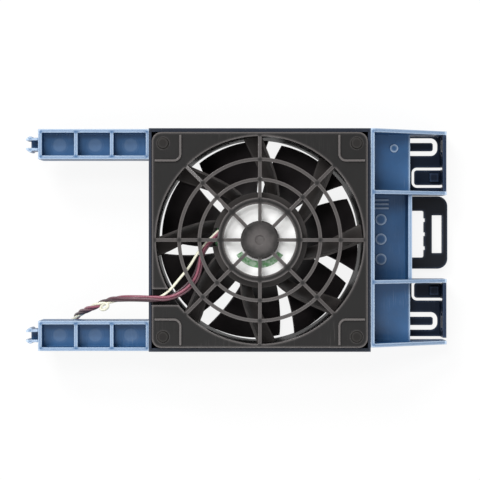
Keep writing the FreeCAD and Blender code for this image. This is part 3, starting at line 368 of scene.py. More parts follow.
    def _patch(self) -> bpy.types.NodeTree:
        """A round patch about the fan's axis, 1 in its middle and 0 past Radius, with a mottled edge.

        Returns:
            The group.
        """
        g = Group("round_patch", {"Mask": NUMBER}, Vector=ZERO, Radius=0.008)
        share = g.maths("DIVIDE", g.about_axis(g.took["Vector"])[1], g.took["Radius"])
        mottle = g.noise(g.took["Vector"], self.MOTTLE_SCALE, 3.0, 0.6)
        mottled = g.maths("MULTIPLY_ADD", mottle, 0.5, share)
        return g.give(Mask=g.ramp(mottled, 0.55, 1.2, 1.0, 0.0, smooth=True))


# ---- Finishes ----


class Batch(Recipe):
    """One material being made: its Object coordinate, the shared effects and its Principled shader."""

    def __init__(self, name: str, effects: Effects) -> None:
        """Begin the material.

        Args:
            name: the material's name.
            effects: the shared effects.
        """
        self.material = bpy.data.materials.new(name)
        self.material.use_nodes = True
        super().__init__(self.material.node_tree)
        self.tree.nodes.clear()
        self.effects = effects
        self.where = self.lay("ShaderNodeTexCoord")["Object"]

    def place(self, group: bpy.types.NodeTree, **inputs: Any) -> bpy.types.NodeOutputs:
        """Place a shared effect in the material, with its inputs by name."""
        return self.lay("ShaderNodeGroup", named=inputs, node_tree=group)

    def drift(self, colour: Colour, amount: float) -> bpy.types.NodeOutputs:
        """Place the slow change of tone over a colour, by at most the amount as a share of it."""
        return self.place(self.effects.drift, Color=colour, Vector=self.where, Amount=amount)

    def shade(self, colour: Any, roughness: Any, normal: Any, **rest: float) -> None:
        """Lay the Principled shader and the material's output.

        Args:
            colour: its base colour.
            roughness: its roughness.
            normal: its normal.
            rest: its other inputs, named with _ for a space and set as plain numbers.
        """
        named = {"Base Color": colour, "Roughness": roughness, "Normal": normal}
        named.update((name.replace("_", " "), value) for name, value in rest.items())
        self.lay("ShaderNodeOutputMaterial", self.lay("ShaderNodeBsdfPrincipled", named=named)[0])


@dataclass(frozen=True)
class Finish:
    """What every finish has: a name and a colour."""

    name: str
    colour: Colour

    def make(self, effects: Effects) -> bpy.types.Material:
        """Build the material.

        Args:
            effects: the shared effects.

        Returns:
            The material.
        """
        batch = Batch(self.name, effects)
        self.lay(batch)
        return batch.material

    def lay(self, b: Batch) -> None:
        """Lay the finish's own nodes. Each kind of finish has its own way."""
        raise NotImplementedError


@dataclass(frozen=True)
class Moulded(Finish):
    """An injection-moulded thermoplastic."""

    # Pale colour for the painted highlights on rims, at the fan's axis and in the arm cells, and for the
    # rubbed lines and ejector rings.
    highlight_and_wear: Colour
    painted_rim_share: float = 0.7
    rim_radius: float = 0.0003
    rim_depth: float = 0.0012
    rim_gloss: float = 0.18
    roughness: float = 0.45
    grain_size: float = 0.0004
    grain_depth: float = 0.00003
    drift: float = 0.12
    rubbed: float = 0.1
    rubbed_gloss: float = 0.12
    flow: Flow = Flow.ALONG_X
    dust: float = 0.03
    specular: float = 0.5
    marks: tuple[float, float, float, float] | None = None
    """Pitch, start, distance from the middle line and radius of the ejector marks, where they show."""
    mark_depth: float = 0.00008
    ring_share: float = 0.06
    painted_pool_share: float = 0.10
    painted_centre_highlight: tuple[float, float] | None = None
    # Radius about the fan's axis and share of a round patch of painted highlight, glossier too, where there
    # is one.
    """Radius about the fan's axis and share of the patch that handling has polished, where there is one."""
    centre_highlight_gloss: float = 0.2

    def lay(self, b: Batch) -> None:
        """Lay tone, rubbed lines, dust and a painted highlight on rims over the colour, where asked a round
        painted highlight at the fan's axis and ejector marks with a painted pool of light, and grain over
        the rounded normal.

        Args:
            b: the material being made.
        """
        fx = b.effects
        edge = b.place(fx.edge, Radius=self.rim_radius, Depth=self.rim_depth)
        tone = b.drift(self.colour, self.drift)
        lines = b.place(fx.scratches, Vector=b.where, Stretch=self.flow.value)["Mask"]
        colour = b.mix(b.maths("MULTIPLY", lines, self.rubbed), tone["Color"], self.highlight_and_wear)
        # Rims where the edge mask is high take the pale colour: a painted highlight, weaker in recesses.
        colour = b.mix(b.maths("MULTIPLY", edge["Mask"], self.painted_rim_share), colour, self.highlight_and_wear)
        colour = b.place(fx.dust, Color=colour, Vector=b.where, Amount=self.dust)["Color"]
        gloss = b.maths("MULTIPLY", edge["Mask"], self.rim_gloss)
        # A round paler, glossier patch at the fan's axis: a painted highlight.
        if self.painted_centre_highlight:
            radius, share = self.painted_centre_highlight
            patch = b.maths("MULTIPLY", b.place(fx.patch, Vector=b.where, Radius=radius)["Mask"], share)
            colour = b.mix(patch, colour, self.highlight_and_wear)
            gloss = b.maths("ADD", gloss, b.maths("MULTIPLY", patch, self.centre_highlight_gloss))
        normal = edge["Normal"]
        if self.marks:
            pitch, start, across, radius = self.marks
            layout = {"Pitch": pitch, "Start": start, "Across": across, "Radius": radius}
            spots = b.place(fx.marks, Vector=b.where, **layout)
            normal = b.bump(spots["Disc"], self.mark_depth, 0.8, normal)
            # The paler disc inside each ring is a painted pool of light; the ring and the dimple are real
            # marks.
            disc = b.maths("MULTIPLY", spots["Disc"], self.painted_pool_share)
            marks_and_painted_pool = b.maths("MULTIPLY_ADD", spots["Ring"], self.ring_share, disc)
            colour = b.mix(marks_and_painted_pool, colour, self.highlight_and_wear)
        texture = {"Size": self.grain_size, "Depth": self.grain_depth, "Normal": normal}
        grain = b.place(fx.grain, Vector=b.where, **texture)
        rough = b.maths("MULTIPLY_ADD", tone["Value"], 0.06, self.roughness)
        rough = b.maths("SUBTRACT", rough, gloss)
        rough = b.maths("SUBTRACT", rough, b.maths("MULTIPLY", lines, self.rubbed_gloss), clamp=True)
        b.shade(colour, rough, grain["Normal"], Specular_IOR_Level=self.specular)


@dataclass(frozen=True)
class Metal(Finish):
    """A bare metal with lines left by its working."""

    roughness: float
    flow: Flow = Flow.ALONG_X
    line_depth: float = 0.00001
    line_count: float = 6000.0
    """Lines for each metre across them."""
    dull: float = 0.2
    rim_radius: float = 0.0002

    def lay(self, b: Batch) -> None:
        """Lay worked lines that bump it and change its gloss, and dull patches that darken it.

        Args:
            b: the material being made.
        """
        edge = b.place(b.effects.edge, Radius=self.rim_radius)
        worked = {"Stretch": self.flow.value, "Fineness": self.line_count}
        lines = b.place(b.effects.scratches, Vector=b.where, **worked)["Mask"]
        tone = b.drift(self.colour, self.dull)
        rough = b.maths("MULTIPLY_ADD", lines, 0.15, self.roughness)
        b.shade(tone["Color"], rough, b.bump(lines, self.line_depth, 0.5, edge["Normal"]), Metallic=1.0)


@dataclass(frozen=True)
class Laminated(Finish):
    """Stamped sheet steel stacked along the axis: fine lines across the stack."""

    sheet: float = 0.0005
    gap: Colour = (0.03, 0.025, 0.02)
    relief: float = 0.00005

    def lay(self, b: Batch) -> None:
        """Lay a sine along Z with one turn for each sheet, darker where it is lowest.

        Args:
            b: the material being made.
        """
        tone = b.drift(self.colour, 0.2)
        stack = b.maths("SINE", b.maths("MULTIPLY", b.split(b.where)["Z"], 2 * math.pi / self.sheet))
        colour = b.mix(b.ramp(stack, -1.0, -0.6, 0.5, 0.0), tone["Color"], self.gap)
        rough = b.maths("MULTIPLY_ADD", tone["Value"], 0.08, 0.42)
        b.shade(colour, rough, b.bump(stack, self.relief), Metallic=0.8)


@dataclass(frozen=True)
class Wound(Finish):
    """Enamelled wire wound in layers: round turns side by side."""

    wire: float = 0.00035
    gap: Colour = (0.05, 0.012, 0.006)
    relief: float = 0.0001

    def lay(self, b: Batch) -> None:
        """Lay ridges one wire apart along Z, each half a sine's wave, darker between the turns.

        Args:
            b: the material being made.
        """
        tone = b.drift(self.colour, 0.18)
        wave = b.maths("SINE", b.maths("MULTIPLY", b.split(b.where)["Z"], math.pi / self.wire))
        ridge = b.maths("ABSOLUTE", wave)
        colour = b.mix(b.ramp(ridge, 0.0, 0.4, 0.7, 0.0), tone["Color"], self.gap)
        rough = b.maths("MULTIPLY_ADD", tone["Value"], 0.05, 0.28)
        b.shade(colour, rough, b.bump(ridge, self.relief), Metallic=0.7, Coat_Weight=0.4)


@dataclass(frozen=True)
class Masked(Finish):
    """A circuit board under solder mask, with its tracks showing as a slight relief."""

    track: float = 0.0009
    over_copper: Colour = (0.08, 0.32, 0.1)
    relief: float = 0.00006

    def lay(self, b: Batch) -> None:
        """Lay blocky cells a track apart, paler and raised where copper lies under the mask.

        Args:
            b: the material being made.
        """
        named = {"Vector": b.where, "Scale": 0.4 / self.track}
        cells = b.lay("ShaderNodeTexVoronoi", named=named, feature="F1", distance="MANHATTAN")
        copper = b.ramp(cells["Distance"], 0.35, 0.42)
        tone = b.drift(self.colour, 0.1)
        colour = b.mix(b.maths("MULTIPLY", copper, 0.35), tone["Color"], self.over_copper)
        b.shade(colour, b.maths("MULTIPLY_ADD", tone["Value"], 0.05, 0.3), b.bump(copper, self.relief))


@dataclass(frozen=True)
class Sticker(Finish):
    """A plain white film label with one plain band, and no words."""

    band: Colour
    band_radii: tuple[float, float] = (0.0090, 0.0119)
    band_half_angle: float = 1.0
    fleck_scale: float = 900.0
    """Flecks in the band for each metre."""

    def lay(self, b: Batch) -> None:
        """Lay an arc of the band's colour between two radii about the fan's axis, on the side towards -Y.

        Args:
            b: the material being made.
        """
        place, radius = b.about_axis(b.where)
        down = b.maths("MULTIPLY", place["Y"], -1.0)
        angle = b.maths("ABSOLUTE", b.maths("ARCTAN2", place["X"], down))
        inner, outer = self.band_radii
        past, short = b.maths("GREATER_THAN", radius, inner), b.maths("LESS_THAN", radius, outer)
        near = b.maths("LESS_THAN", angle, self.band_half_angle)
        inside = b.maths("MULTIPLY", b.maths("MULTIPLY", past, short), near)
        fleck = b.ramp(b.noise(b.where, self.fleck_scale, 3.0), 0.4, 0.6, 0.72, 1.0)
        tone = b.drift(self.colour, 0.03)
        colour = b.mix(b.maths("MULTIPLY", inside, fleck), tone["Color"], self.band)
        grain = b.place(b.effects.grain, Vector=b.where, Size=0.0012, Depth=0.00002)
        b.shade(colour, b.maths("MULTIPLY_ADD", tone["Value"], 0.05, 0.6), grain["Normal"])


@dataclass(frozen=True)
class Insulation(Finish):
    """Soft insulation of one strand: slightly waxy and a little dusty."""

    roughness: float = 0.38

    def lay(self, b: Batch) -> None:
        """Lay a tone that drifts along the strand and a fine grain that breaks up its gloss.

        Args:
            b: the material being made.
        """
        tone = b.drift(self.colour, 0.14)
        grain = b.place(b.effects.grain, Vector=b.where, Size=0.0003, Depth=0.00001)
        dusty = b.place(b.effects.dust, Color=tone["Color"], Vector=b.where, Amount=0.03)
        rough = b.maths("MULTIPLY_ADD", tone["Value"], 0.06, self.roughness)
        b.shade(dusty["Color"], rough, grain["Normal"], Coat_Weight=0.15, Coat_Roughness=0.25)


# ---- Making meshes ----


def mesh_object(name: str, points: np.ndarray, faces: Sequence[Sequence[int]],
                slots: Sequence[bpy.types.Material], which: np.ndarray | None = None) -> bpy.types.Object:
    """Make a smooth mesh object from worked-out points.

    Args:
        name: the object's and the mesh's name.
        points: n by 3 points in metres, in the module's frame.
        faces: corner numbers of each face.
        slots: its materials.
        which: the material number of each face.

    Returns:
        The object, linked to the scene.
    """
    mesh = bpy.data.meshes.new(name)
    mesh.from_pydata(points.tolist(), [], faces)
    for material in slots:
        mesh.materials.append(material)
    mesh.polygons.foreach_set("use_smooth", np.ones(len(mesh.polygons), bool))
    if which is not None:
        mesh.polygons.foreach_set("material_index", which.astype(np.int32))
    mesh.update()
    piece = bpy.data.objects.new(name, mesh)
    bpy.context.scene.collection.objects.link(piece)
    return piece


def spline_points(name: str, route: Sequence[Point], steps: int = 16) -> np.ndarray:
    """Read points along a smooth curve of order 3 that has the route as its control points.

    Args:
        name: name for the curve while it is read.
        route: the control points, in metres.
        steps: points between two control points.

    Returns:
        n by 3 points on the curve, in order.
    """
    data = bpy.data.curves.new(name, "CURVE")
    data.dimensions = "3D"
    data.resolution_u = steps
    spline = data.splines.new("NURBS")
    spline.points.add(len(route) - 1)
    for knot, place in zip(spline.points, route):
        knot.co = (*place, 1.0)
    spline.order_u = 3
    spline.use_endpoint_u = True
    holder = bpy.data.objects.new(name, data)
    bpy.context.scene.collection.objects.link(holder)
    bpy.context.view_layer.update()
    mesh = bpy.data.meshes.new_from_object(holder)
    flat = np.zeros(len(mesh.vertices) * 3)
    mesh.vertices.foreach_get("co", flat)
    bpy.data.objects.remove(holder)
    bpy.data.curves.remove(data)
    bpy.data.meshes.remove(mesh)
    return flat.reshape(-1, 3)


def along(line: np.ndarray) -> np.ndarray:
    """The distance run at each point of a line, from 0 at its first."""
    return np.concatenate([[0.0], np.cumsum(np.linalg.norm(np.diff(line, axis=0), axis=1))])


def evenly(line: np.ndarray, gap: float) -> np.ndarray:
    """Set points on a line at even distances.

    Args:
        line: n by 3 points.
        gap: about how far apart the new points lie.

    Returns:
        The new points, with both ends kept.
    """
    run = along(line)
    at = np.linspace(0.0, run[-1], max(3, int(round(run[-1] / gap)) + 1))
    return np.stack([np.interp(at, run, line[:, k]) for k in range(3)], axis=1)


def unit(rows: np.ndarray) -> np.ndarray:
    """Each row scaled to length 1."""
    return rows / np.maximum(np.linalg.norm(rows, axis=-1, keepdims=True), 1e-12)


def headings(line: np.ndarray) -> tuple[np.ndarray, np.ndarray, np.ndarray]:
    """The direction of a line at each point, with a level sideways direction and the one square to both.

    Sideways is the cross product of straight up and the direction, scaled to length 1.

    Args:
        line: points of one line or more that nowhere run straight up or down, in order along the first
            axis.

    Returns:
        Forward, side and upper unit vectors, in the shape of line.
    """
    forward = unit(np.gradient(line, axis=0))
    side = unit(np.cross(np.array([0.0, 0.0, 1.0]), forward))
    return forward, side, np.cross(forward, side)


# ---- Sub-assemblies ----


class Kit:
    """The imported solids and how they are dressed."""

    SAME_PLACE: ClassVar[float] = 1e-6
    """Corners nearer than this are one, in metres."""
    FLAT_TURN: ClassVar[float] = math.radians(0.5)
    """Faces that turn less than this are one flat face."""
    EDGE_TURN: ClassVar[float] = math.radians(40.0)
    """Edges that turn more than this are rounded."""

    def __init__(self, nodes: dict[str, bpy.types.Object], effects: Effects) -> None:
        """Keep the solids by name, and the shared effects."""
        self.nodes = nodes
        self.effects = effects

    def dress(self, names: Sequence[str], finish: Finish, round_by: float = 0.0) -> None:
        """Give nodes a finish, and rounded edges where a width is given.

        Args:
            names: the nodes.
            finish: their finish.
            round_by: width of the rounding on each edge, in metres, or 0 for none.
        """
        material = finish.make(self.effects)
        for name in names:
            piece = self.nodes[name]
            piece.data.materials.clear()
            piece.data.materials.append(material)
            if round_by > 0:
                self._round(piece, round_by)
            log.info("dressed %s in %s", name, material.name)

    def _round(self, piece: bpy.types.Object, width: float) -> None:
        """Merge the loose corners, join flat faces and round the edges.

        Args:
            piece: the node.
            width: width of the rounding, in metres.
        """
        weld = piece.modifiers.new("join", "WELD")
        weld.merge_threshold = self.SAME_PLACE
        flat = piece.modifiers.new("clear", "DECIMATE")
        flat.decimate_type = "DISSOLVE"
        flat.angle_limit = self.FLAT_TURN
        soft = piece.modifiers.new("soften", "BEVEL")
        soft.width = width
        soft.segments = 2
        soft.limit_method = "ANGLE"
        soft.angle_limit = self.EDGE_TURN
        soft.use_clamp_overlap = True
        soft.harden_normals = True


@dataclass
class Carrier:
    """The sliding carrier: bay, arms, latch tray, side latch plates."""

    kit: Kit
    edge: float = 0.0002
    cell_marks: tuple[float, float, float, float] = (0.01547, -0.07859, 0.04135, 0.0036)
    # Ejector marks in each arm cell's middle, each with a paler disc that is a painted pool of light: pitch,
    # start, distance from the middle line and radius.
    """Ejector marks in each arm cell's middle: pitch, start, distance from the middle line and radius."""
    blue: Moulded = Moulded(
        "blue_moulding", linear(42, 87, 132), linear(184, 203, 224), painted_rim_share=0.95, roughness=0.42,
        specular=0.4)
    bay: Moulded = Moulded(
        "bay_moulding", linear(16, 19, 26), linear(62, 74, 96), painted_rim_share=0.45, roughness=0.5, drift=0.16,
        specular=0.25, dust=0.008)
    latch: Moulded = Moulded(
        "latch_moulding", linear(15, 27, 45), linear(66, 84, 114), painted_rim_share=0.45, roughness=0.48,
        drift=0.16, specular=0.15, dust=0.006)

    def build(self) -> None:
        """Dress the carrier's nodes."""
        arm = replace(self.blue, name="arm_moulding", marks=self.cell_marks)
        self.kit.dress(["upper_arm", "lower_arm"], arm, self.edge)
        self.kit.dress(["latch_tray"], self.blue, self.edge)
        self.kit.dress(["carrier_bay"], self.bay, self.edge)
        self.kit.dress(["latch_plate_upper", "latch_plate_lower"], self.latch, self.edge)


@dataclass
class Latch:
    """The squeeze lever and its pin."""

    kit: Kit
    edge: float = 0.0002
    grip: Moulded = Moulded(
        "lever_moulding", linear(15, 19, 27), linear(64, 76, 96), painted_rim_share=0.45, roughness=0.42,
        flow=Flow.ALONG_Y, specular=0.16, dust=0.006)
    steel: Metal = Metal("ground_steel", (0.62, 0.62, 0.61), 0.24, Flow.ALONG_Y)

    def build(self) -> None:
        """Dress the lever and its pin."""
        self.kit.dress(["release_lever"], self.grip, self.edge)
        self.kit.dress(["lever_pin"], self.steel)


@dataclass
class Fan:
    """The axial fan: frame, guard, rubber mounting pins, motor and impeller."""

    kit: Kit
    frame: Moulded = Moulded(
        "frame_moulding", linear(15, 14, 15), linear(126, 121, 123), painted_rim_share=0.55, rim_depth=0.0005,
        roughness=0.5, grain_depth=0.00004, drift=0.24, specular=0.08, dust=0.003)
    stator: Moulded = Moulded(
        "stator_moulding", linear(46, 43, 42), linear(84, 80, 79), painted_rim_share=0.3, rim_depth=0.0005,
        roughness=0.5, drift=0.2, specular=0.25, dust=0.004)
    # The guard's paler ribs and its paler round middle are painted highlights.
    guard: Moulded = Moulded(
        "guard_moulding", linear(18, 17, 17), linear(117, 112, 111), rim_radius=0.00045, painted_rim_share=0.64,
        rim_gloss=0.34, roughness=0.5, drift=0.24, specular=0.32, dust=0.006, painted_centre_highlight=(0.0085, 0.42))
    rotor: Moulded = Moulded(
        "impeller_moulding", linear(36, 33, 34), linear(72, 67, 69), painted_rim_share=0.35, rim_depth=0.0005,
        roughness=0.36, drift=0.18, grain_depth=0.00001, specular=0.34, dust=0.003)
    rubber: Moulded = Moulded(
        "pin_moulding", linear(32, 30, 29), linear(70, 68, 66), painted_rim_share=0.3, roughness=0.72, specular=0.25,
        dust=0.01)
    shaft: Metal = Metal("turned_steel", (0.66, 0.66, 0.65), 0.2)
    yoke: Metal = Metal("drawn_steel", (0.5, 0.5, 0.5), 0.32)
    bush: Metal = Metal("turned_brass", (0.72, 0.52, 0.24), 0.28)
    stack: Laminated = Laminated("lamination_stack", (0.30, 0.30, 0.32))
    wire: Wound = Wound("coil_wire", (0.52, 0.20, 0.09))
    board: Masked = Masked("board_mask", (0.02, 0.12, 0.04))
    film: Sticker = Sticker("blank_label", (0.93, 0.93, 0.92), linear(84, 138, 88))
    bonded: Moulded = Moulded(
        "bonded_magnet", linear(52, 50, 50), linear(90, 88, 86), painted_rim_share=0.4, roughness=0.6)

    def build(self) -> None:
        """Dress every node of the fan."""
        for finish, names in (
            (self.frame, ["fan_housing"]),
            (self.stator, ["stator_frame"]),
            (self.guard, ["finger_guard"]),
            (self.rotor, ["impeller"]),
            (self.rubber, [f"mount_pin_{n}" for n in range(1, 5)]),
            (self.shaft, ["shaft", "bearing_front", "bearing_rear"]),
            (self.yoke, ["rotor_yoke", "retaining_clip"]),
            (self.bush, ["bearing_tube"]),
            (self.stack, ["stator_core"]),
            (self.wire, [f"stator_coil_{n}" for n in range(1, 5)]),
            (self.board, ["circuit_board"]),
            (self.film, ["motor_label"]),
            (self.bonded, ["magnet_ring"]),
        ):
            self.kit.dress(names, finish)


@dataclass
class Lead:
    """The fan's four-strand lead, laid as loosely twisted strands, and its plug."""

    DOME: ClassVar[tuple[tuple[float, float], ...]] = ((1.0, 0.02), (0.7, 0.7))
    """The rings that close a strand's end, outermost first: how far past it and how wide, in its radii."""

    kit: Kit
    strand: float = 0.00060
    """Radius of one strand."""
    lay: float = 0.00080
    """Distance of each strand's middle from the lead's own line."""
    at_edge: tuple[float, float, float, float] = (-1.0, 0.0, 1.0, 2.0)
    """Where each strand lies about the line at the frame's edge, in quarter turns from the side."""
    quarter: tuple[float, float] = (0.012, 0.0056)
    """Length of the one quarter turn that ends at the frame's edge, and of each one past it."""
    straight: tuple[float, float] = (0.0120, 0.0015)
    """How far the strands run side by side past the frame's edge, and how softly the twist then sets in."""
    stand_apart: tuple[float, float, float, float] = (-0.0013, 0.0019, 0.0033, 0.0030)
    """How far each strand swings sideways inside the duct, where the lead hangs slack."""
    swing: tuple[float, float] = (-0.0190, 0.0170)
    """Where that swing is widest, before the frame's edge, and half the length that it takes."""
    curl: tuple[float, float, float, float] = (0.0222, 0.0064, 0.0035, 0.00138)
    """Where the first strand curls into a loop beside the others, past the frame: its place on the lead,
    the lead's length that it takes, and the loop's half length and half width."""
    sides: int = 12
    """Faces round a strand."""
    gap: float = 0.0003
    """About how far apart a strand's rings are."""
    diameter: float = 0.0026
    length: float = 0.0603
    plug_edge: float = 0.00015
    inner_route: tuple[Point, ...] = (
        (-0.0172, 0.0033, 0.0364), (-0.0246, -0.0034, 0.0387), (-0.0287, -0.0132, 0.0395),
        (-0.0336, -0.0190, 0.0395), (-0.0382, -0.0232, 0.0395), (-0.0430, -0.0253, 0.03985),
        (-0.0475, -0.0251, 0.0395),
    )
    """Points of the length inside the duct, from the fan's axis."""
    free_route: tuple[Point, ...] = (
        (-0.0475, -0.0251, 0.0395), (-0.0548, -0.0248, 0.03895), (-0.0638, -0.0254, 0.0342),
        (-0.0732, -0.0296, 0.0250), (-0.0798, -0.0324, 0.0150), (-0.0828, -0.0370, 0.0062),
        (-0.0880, -0.0402, 0.0031),
    )
    """Points of the free length, from the fan's axis."""
    strands: tuple[Insulation, ...] = (
        Insulation("strand_ivory", linear(228, 226, 206)),
        Insulation("strand_dark", linear(68, 48, 55)),
        Insulation("strand_plum", linear(98, 66, 75)),
        Insulation("strand_red", linear(136, 74, 91)),
    )
    body: Moulded = Moulded(
        "plug_nylon", linear(226, 223, 208), linear(240, 238, 228), painted_rim_share=0.4, roughness=0.5,
        drift=0.04)
    pins: Metal = Metal("tinned_contacts", (0.72, 0.72, 0.70), 0.22)

    def placed(self, route: Sequence[Point]) -> list[Point]:
        """The route moved from the fan's axis to the module's frame."""
        return [(x + FAN_X, y, z) for x, y, z in route]

    def read(self, name: str, route: Sequence[Point]) -> np.ndarray:
        """Even points on the smooth curve that a route controls, read from a curve of that name."""
        return evenly(spline_points(name, self.placed(route)), self.gap)

    @staticmethod
    def hump(run: np.ndarray, middle: float, half: float) -> np.ndarray:
        """A smooth hump: the squared cosine of a quarter turn over each half of it, and 0 past it."""
        share = np.clip((run - middle) / half, -1, 1)
        return np.where(np.abs(run - middle) < half, np.cos(0.5 * np.pi * share) ** 2, 0.0)

    def middles(self, line: np.ndarray, start: float) -> np.ndarray:
        """Work out the lines that the strands' middles follow.

        A strand's middle stands off the lead's line by the lay distance, at an angle counted in quarter
        turns, which for each strand is one more than for the one before. Before the frame's edge the angle
        makes one quarter turn along half a cosine wave. Past it the strands run side by side, and then it
        grows by one for each quarter length, as the logarithm of 1 plus an exponential, which sets in
        softly. A smooth hump swings each strand sideways inside the duct. At the curl the first strand
        runs once round an ellipse beside the line, by a smooth step of its angle.

        Args:
            line: n evenly set points of the lead's line.
            start: the distance from the frame's edge to the line's first point, below 0 inside the duct.

        Returns:
            n by 4 by 3 points: each strand's middle beside each point of the line.
        """
        run = along(line) + start
        onward, side, upper = (way[:, None, :] for way in headings(line))
        last, later = self.quarter
        straight, soft = self.straight
        within = -0.5 * (1 - np.cos(np.pi * np.clip(run / last, -1.0, 0.0)))
        beyond = soft * np.logaddexp(0.0, (run - straight) / soft) / later
        quarters = (within + np.where(run > 0, beyond, 0.0))[:, None] + np.array(self.at_edge)
        lay_angle = quarters * math.pi / 2
        place, stretch, half_length, half_width = self.curl
        step = np.clip((run - place) / stretch + 0.5, 0.0, 1.0)
        only_first = np.array([1.0, 0.0, 0.0, 0.0])
        round_trip = (2 * math.pi * step * step * (3 - 2 * step))[:, None] * only_first
        swing = self.hump(run, *self.swing)[:, None] * np.array(self.stand_apart)
        beside = self.lay * np.cos(lay_angle) + swing + half_width * (1 - np.cos(round_trip))
        above = self.lay * np.sin(lay_angle)
        ahead = half_length * np.sin(round_trip)
        off_line = beside[..., None] * side + above[..., None] * upper
        return line[:, None, :] + off_line + ahead[..., None] * onward

    def bundle(self, name: str, middle: np.ndarray, slots: Sequence[bpy.types.Material]) -> bpy.types.Object:
        """Make the four strands as one mesh.

        A strand's surface is a circle about its middle, square to its own heading: the middle, plus the
        radius times the cosine of the turn sideways and its sine upwards. Both ends close in a small dome.

        Args:
            name: the piece's name.
            middle: n by 4 by 3 points of the strands' middles.
            slots: the strands' materials.

        Returns:
            The piece.
        """
        forward, across, over = headings(middle)
        past, wide = np.array(self.DOME).T
        body = np.ones(len(middle))
        index = np.pad(np.arange(len(middle)), len(self.DOME), mode="edge")
        push = np.concatenate([-past, 0.0 * body, past[::-1]]) * self.strand
        ring = np.concatenate([wide, body, wide[::-1]]) * self.strand
        turn = np.linspace(0.0, 2 * math.pi, self.sides, endpoint=False)[:, None]
        centre = middle[index] + push[:, None, None] * forward[index]
        spoke = np.cos(turn) * across[index][:, :, None, :] + np.sin(turn) * over[index][:, :, None, :]
        shell = centre[:, :, None, :] + ring[:, None, None, None] * spoke
        shell = shell.transpose(1, 0, 2, 3).reshape(-1, 3)
        corner, rings = np.arange(self.sides), np.arange(len(index) - 1) * self.sides
        near, turned = np.meshgrid(rings, corner, indexing="ij")
        after, far = (turned + 1) % self.sides, near + self.sides
        quad = np.stack([near + turned, near + after, far + after, far + turned], axis=-1).reshape(-1, 4)
        size = len(index) * self.sides
        first = np.arange(len(slots)) * size
        quads = (quad[None] + first[:, None, None]).reshape(-1, 4)
        last = first + size - self.sides
        lids = np.concatenate([first[:, None] + corner[::-1], last[:, None] + corner])
        strands = np.arange(len(slots))
        which = np.concatenate([np.repeat(strands, len(quad)), np.tile(strands, 2)])
        return mesh_object(name, shell, quads.tolist() + lids.tolist(), slots, which)

    def build(self) -> None:
        slots = [strand.make(self.kit.effects) for strand in self.strands]
        inner = self.read("lead_inner_line", self.inner_route)
        outer = self.read("lead_free_line", self.free_route)
        inside = self.bundle("strands_inner", self.middles(inner, -along(inner)[-1]), slots)
        outside = self.bundle("strands_free", self.middles(outer, 0.0), slots)
        for piece, node, line in ((inside, "lead_inner", inner), (outside, "lead_free", outer)):
            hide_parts(node)
            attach(piece, "module")
            log.info("laid %s: %.1f mm", piece.name, 1000 * along(line)[-1])
        contacts = [f"plug_contact_{n}" for n in range(1, 5)]
        self.kit.dress(["plug_housing"], self.body, self.plug_edge)
        self.kit.dress(contacts, self.pins)


# ---- The studio ----


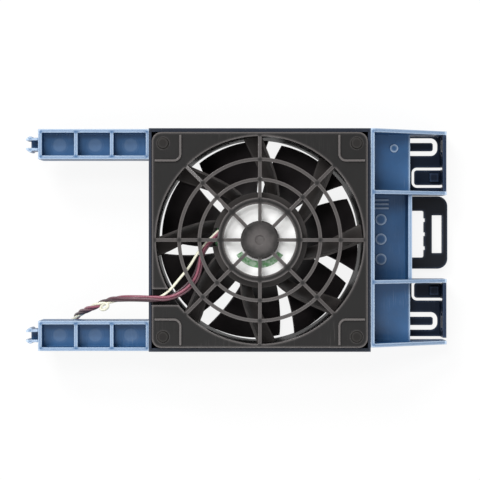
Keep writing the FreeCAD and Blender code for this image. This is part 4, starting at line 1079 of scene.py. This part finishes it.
@dataclass
class Studio:
    """The pale floor, the soft lamps and the camera."""

    view_height: float = 0.808
    lens: float = 135.0
    sensor: float = 36.0
    """Width of the camera's sensor, in millimetres, as lens is."""
    seen_between: tuple[float, float] = (0.01, 50.0)
    """The nearest and the farthest that the camera sees, in metres."""
    floor_reach: float = 6.0
    floor_drop: float = 0.0002
    """How far the floor lies under the module, so that the two don't share a plane."""
    floor_grey: float = 0.82
    lit_share: float = 0.12
    """Share of the lit, shadowed floor in what the camera sees of it. The rest is plain white."""
    world: float = 0.45
    lamps: tuple[tuple[str, Point, float, float, bool], ...] = (
        ("key", (-0.52, 0.80, 1.05), 0.40, 10.5, True),
        ("fill", (-0.80, -0.45, 0.70), 0.6, 1.2, True),
        ("side", (0.85, -0.35, 0.65), 0.6, 1.1, True),
        ("low", (0.0, -0.30, 1.0), 0.30, 1.8, True),
        ("over", (-0.20, 0.34, 1.2), 0.30, 6.0, False),
    )
    """Each lamp's name, place, side, power, and whether glossy faces mirror it."""
    aim: Point = (0.0, 0.0, 0.02)

    def build(self) -> None:
        """Set up the floor, the world, the lamps, the camera and the colour view."""
        self.floor()
        self.sky()
        for lamp in self.lamps:
            self.lamp(*lamp)
        self.camera()
        bpy.context.scene.view_settings.view_transform = "Standard"

    def floor(self) -> None:
        """Lay a wide pale floor under the module that shows white and keeps the module's faint shadow."""
        material = bpy.data.materials.new("pale_floor")
        material.use_nodes = True
        material.node_tree.nodes.clear()
        r = Recipe(material.node_tree)
        matt = r.lay("ShaderNodeBsdfDiffuse", (self.floor_grey,) * 3)[0]
        glow = r.lay("ShaderNodeEmission")[0]
        path = r.lay("ShaderNodeLightPath")
        mirrored = r.maths("MAXIMUM", path["Is Glossy Ray"], path["Is Transmission Ray"])
        seen = r.maths("MAXIMUM", path["Is Camera Ray"], mirrored)
        plain = r.maths("MULTIPLY", seen, 1.0 - self.lit_share)
        r.lay("ShaderNodeOutputMaterial", r.lay("ShaderNodeMixShader", plain, matt, glow)[0])
        signs = np.array([[-1.0, -1.0], [1.0, -1.0], [1.0, 1.0], [-1.0, 1.0]])
        ground = np.column_stack([signs * self.floor_reach, np.full(4, -self.floor_drop)])
        mesh_object("pale_floor", ground, [[0, 1, 2, 3]], [material])

    def sky(self) -> None:
        """Put an even pale surround about the module, white where it is seen directly."""
        world = bpy.data.worlds.new("surround")
        bpy.context.scene.world = world
        world.use_nodes = True
        world.node_tree.nodes.clear()
        r = Recipe(world.node_tree)
        strength = r.ramp(r.lay("ShaderNodeLightPath")["Is Camera Ray"], 0.0, 1.0, self.world, 1.0)
        r.lay("ShaderNodeOutputWorld", r.lay("ShaderNodeBackground", (1.0, 1.0, 1.0), strength)[0])

    def lamp(self, name: str, place: Point, size: float, power: float, mirrored: bool) -> None:
        """Hang one soft square lamp, aimed at the module.

        Args:
            name: its name.
            place: where it hangs, in metres.
            size: the length of its side.
            power: its power in watts.
            mirrored: whether glossy faces mirror it.
        """
        data = bpy.data.lights.new(name, "AREA")
        data.shape = "SQUARE"
        data.size = size
        data.energy = power
        lamp = bpy.data.objects.new(name, data)
        bpy.context.scene.collection.objects.link(lamp)
        lamp.location = place
        lamp.visible_glossy = mirrored
        aim = Vector(self.aim) - Vector(place)
        lamp.rotation_euler = aim.to_track_quat("-Z", "Y").to_euler()

    def camera(self) -> None:
        """Hang the camera straight over the module, looking down."""
        data = bpy.data.cameras.new("camera")
        data.lens = self.lens
        data.sensor_width = self.sensor
        data.clip_start, data.clip_end = self.seen_between
        camera = bpy.data.objects.new("camera", data)
        bpy.context.scene.collection.objects.link(camera)
        camera.location = (0.0, 0.0, self.view_height)
        bpy.context.scene.camera = camera


def main() -> None:
    """Load the module's solids, dress each sub-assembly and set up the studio."""
    logging.basicConfig(level=logging.INFO, format="%(name)s: %(message)s")
    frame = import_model()
    Studio().build()
    kit = Kit(frame["nodes"], Effects())
    for assembly in (Lead(kit), Carrier(kit), Latch(kit), Fan(kit)):
        assembly.build()
        log.info("built %s", type(assembly).__name__)


if __name__ == "__main__":
    main()
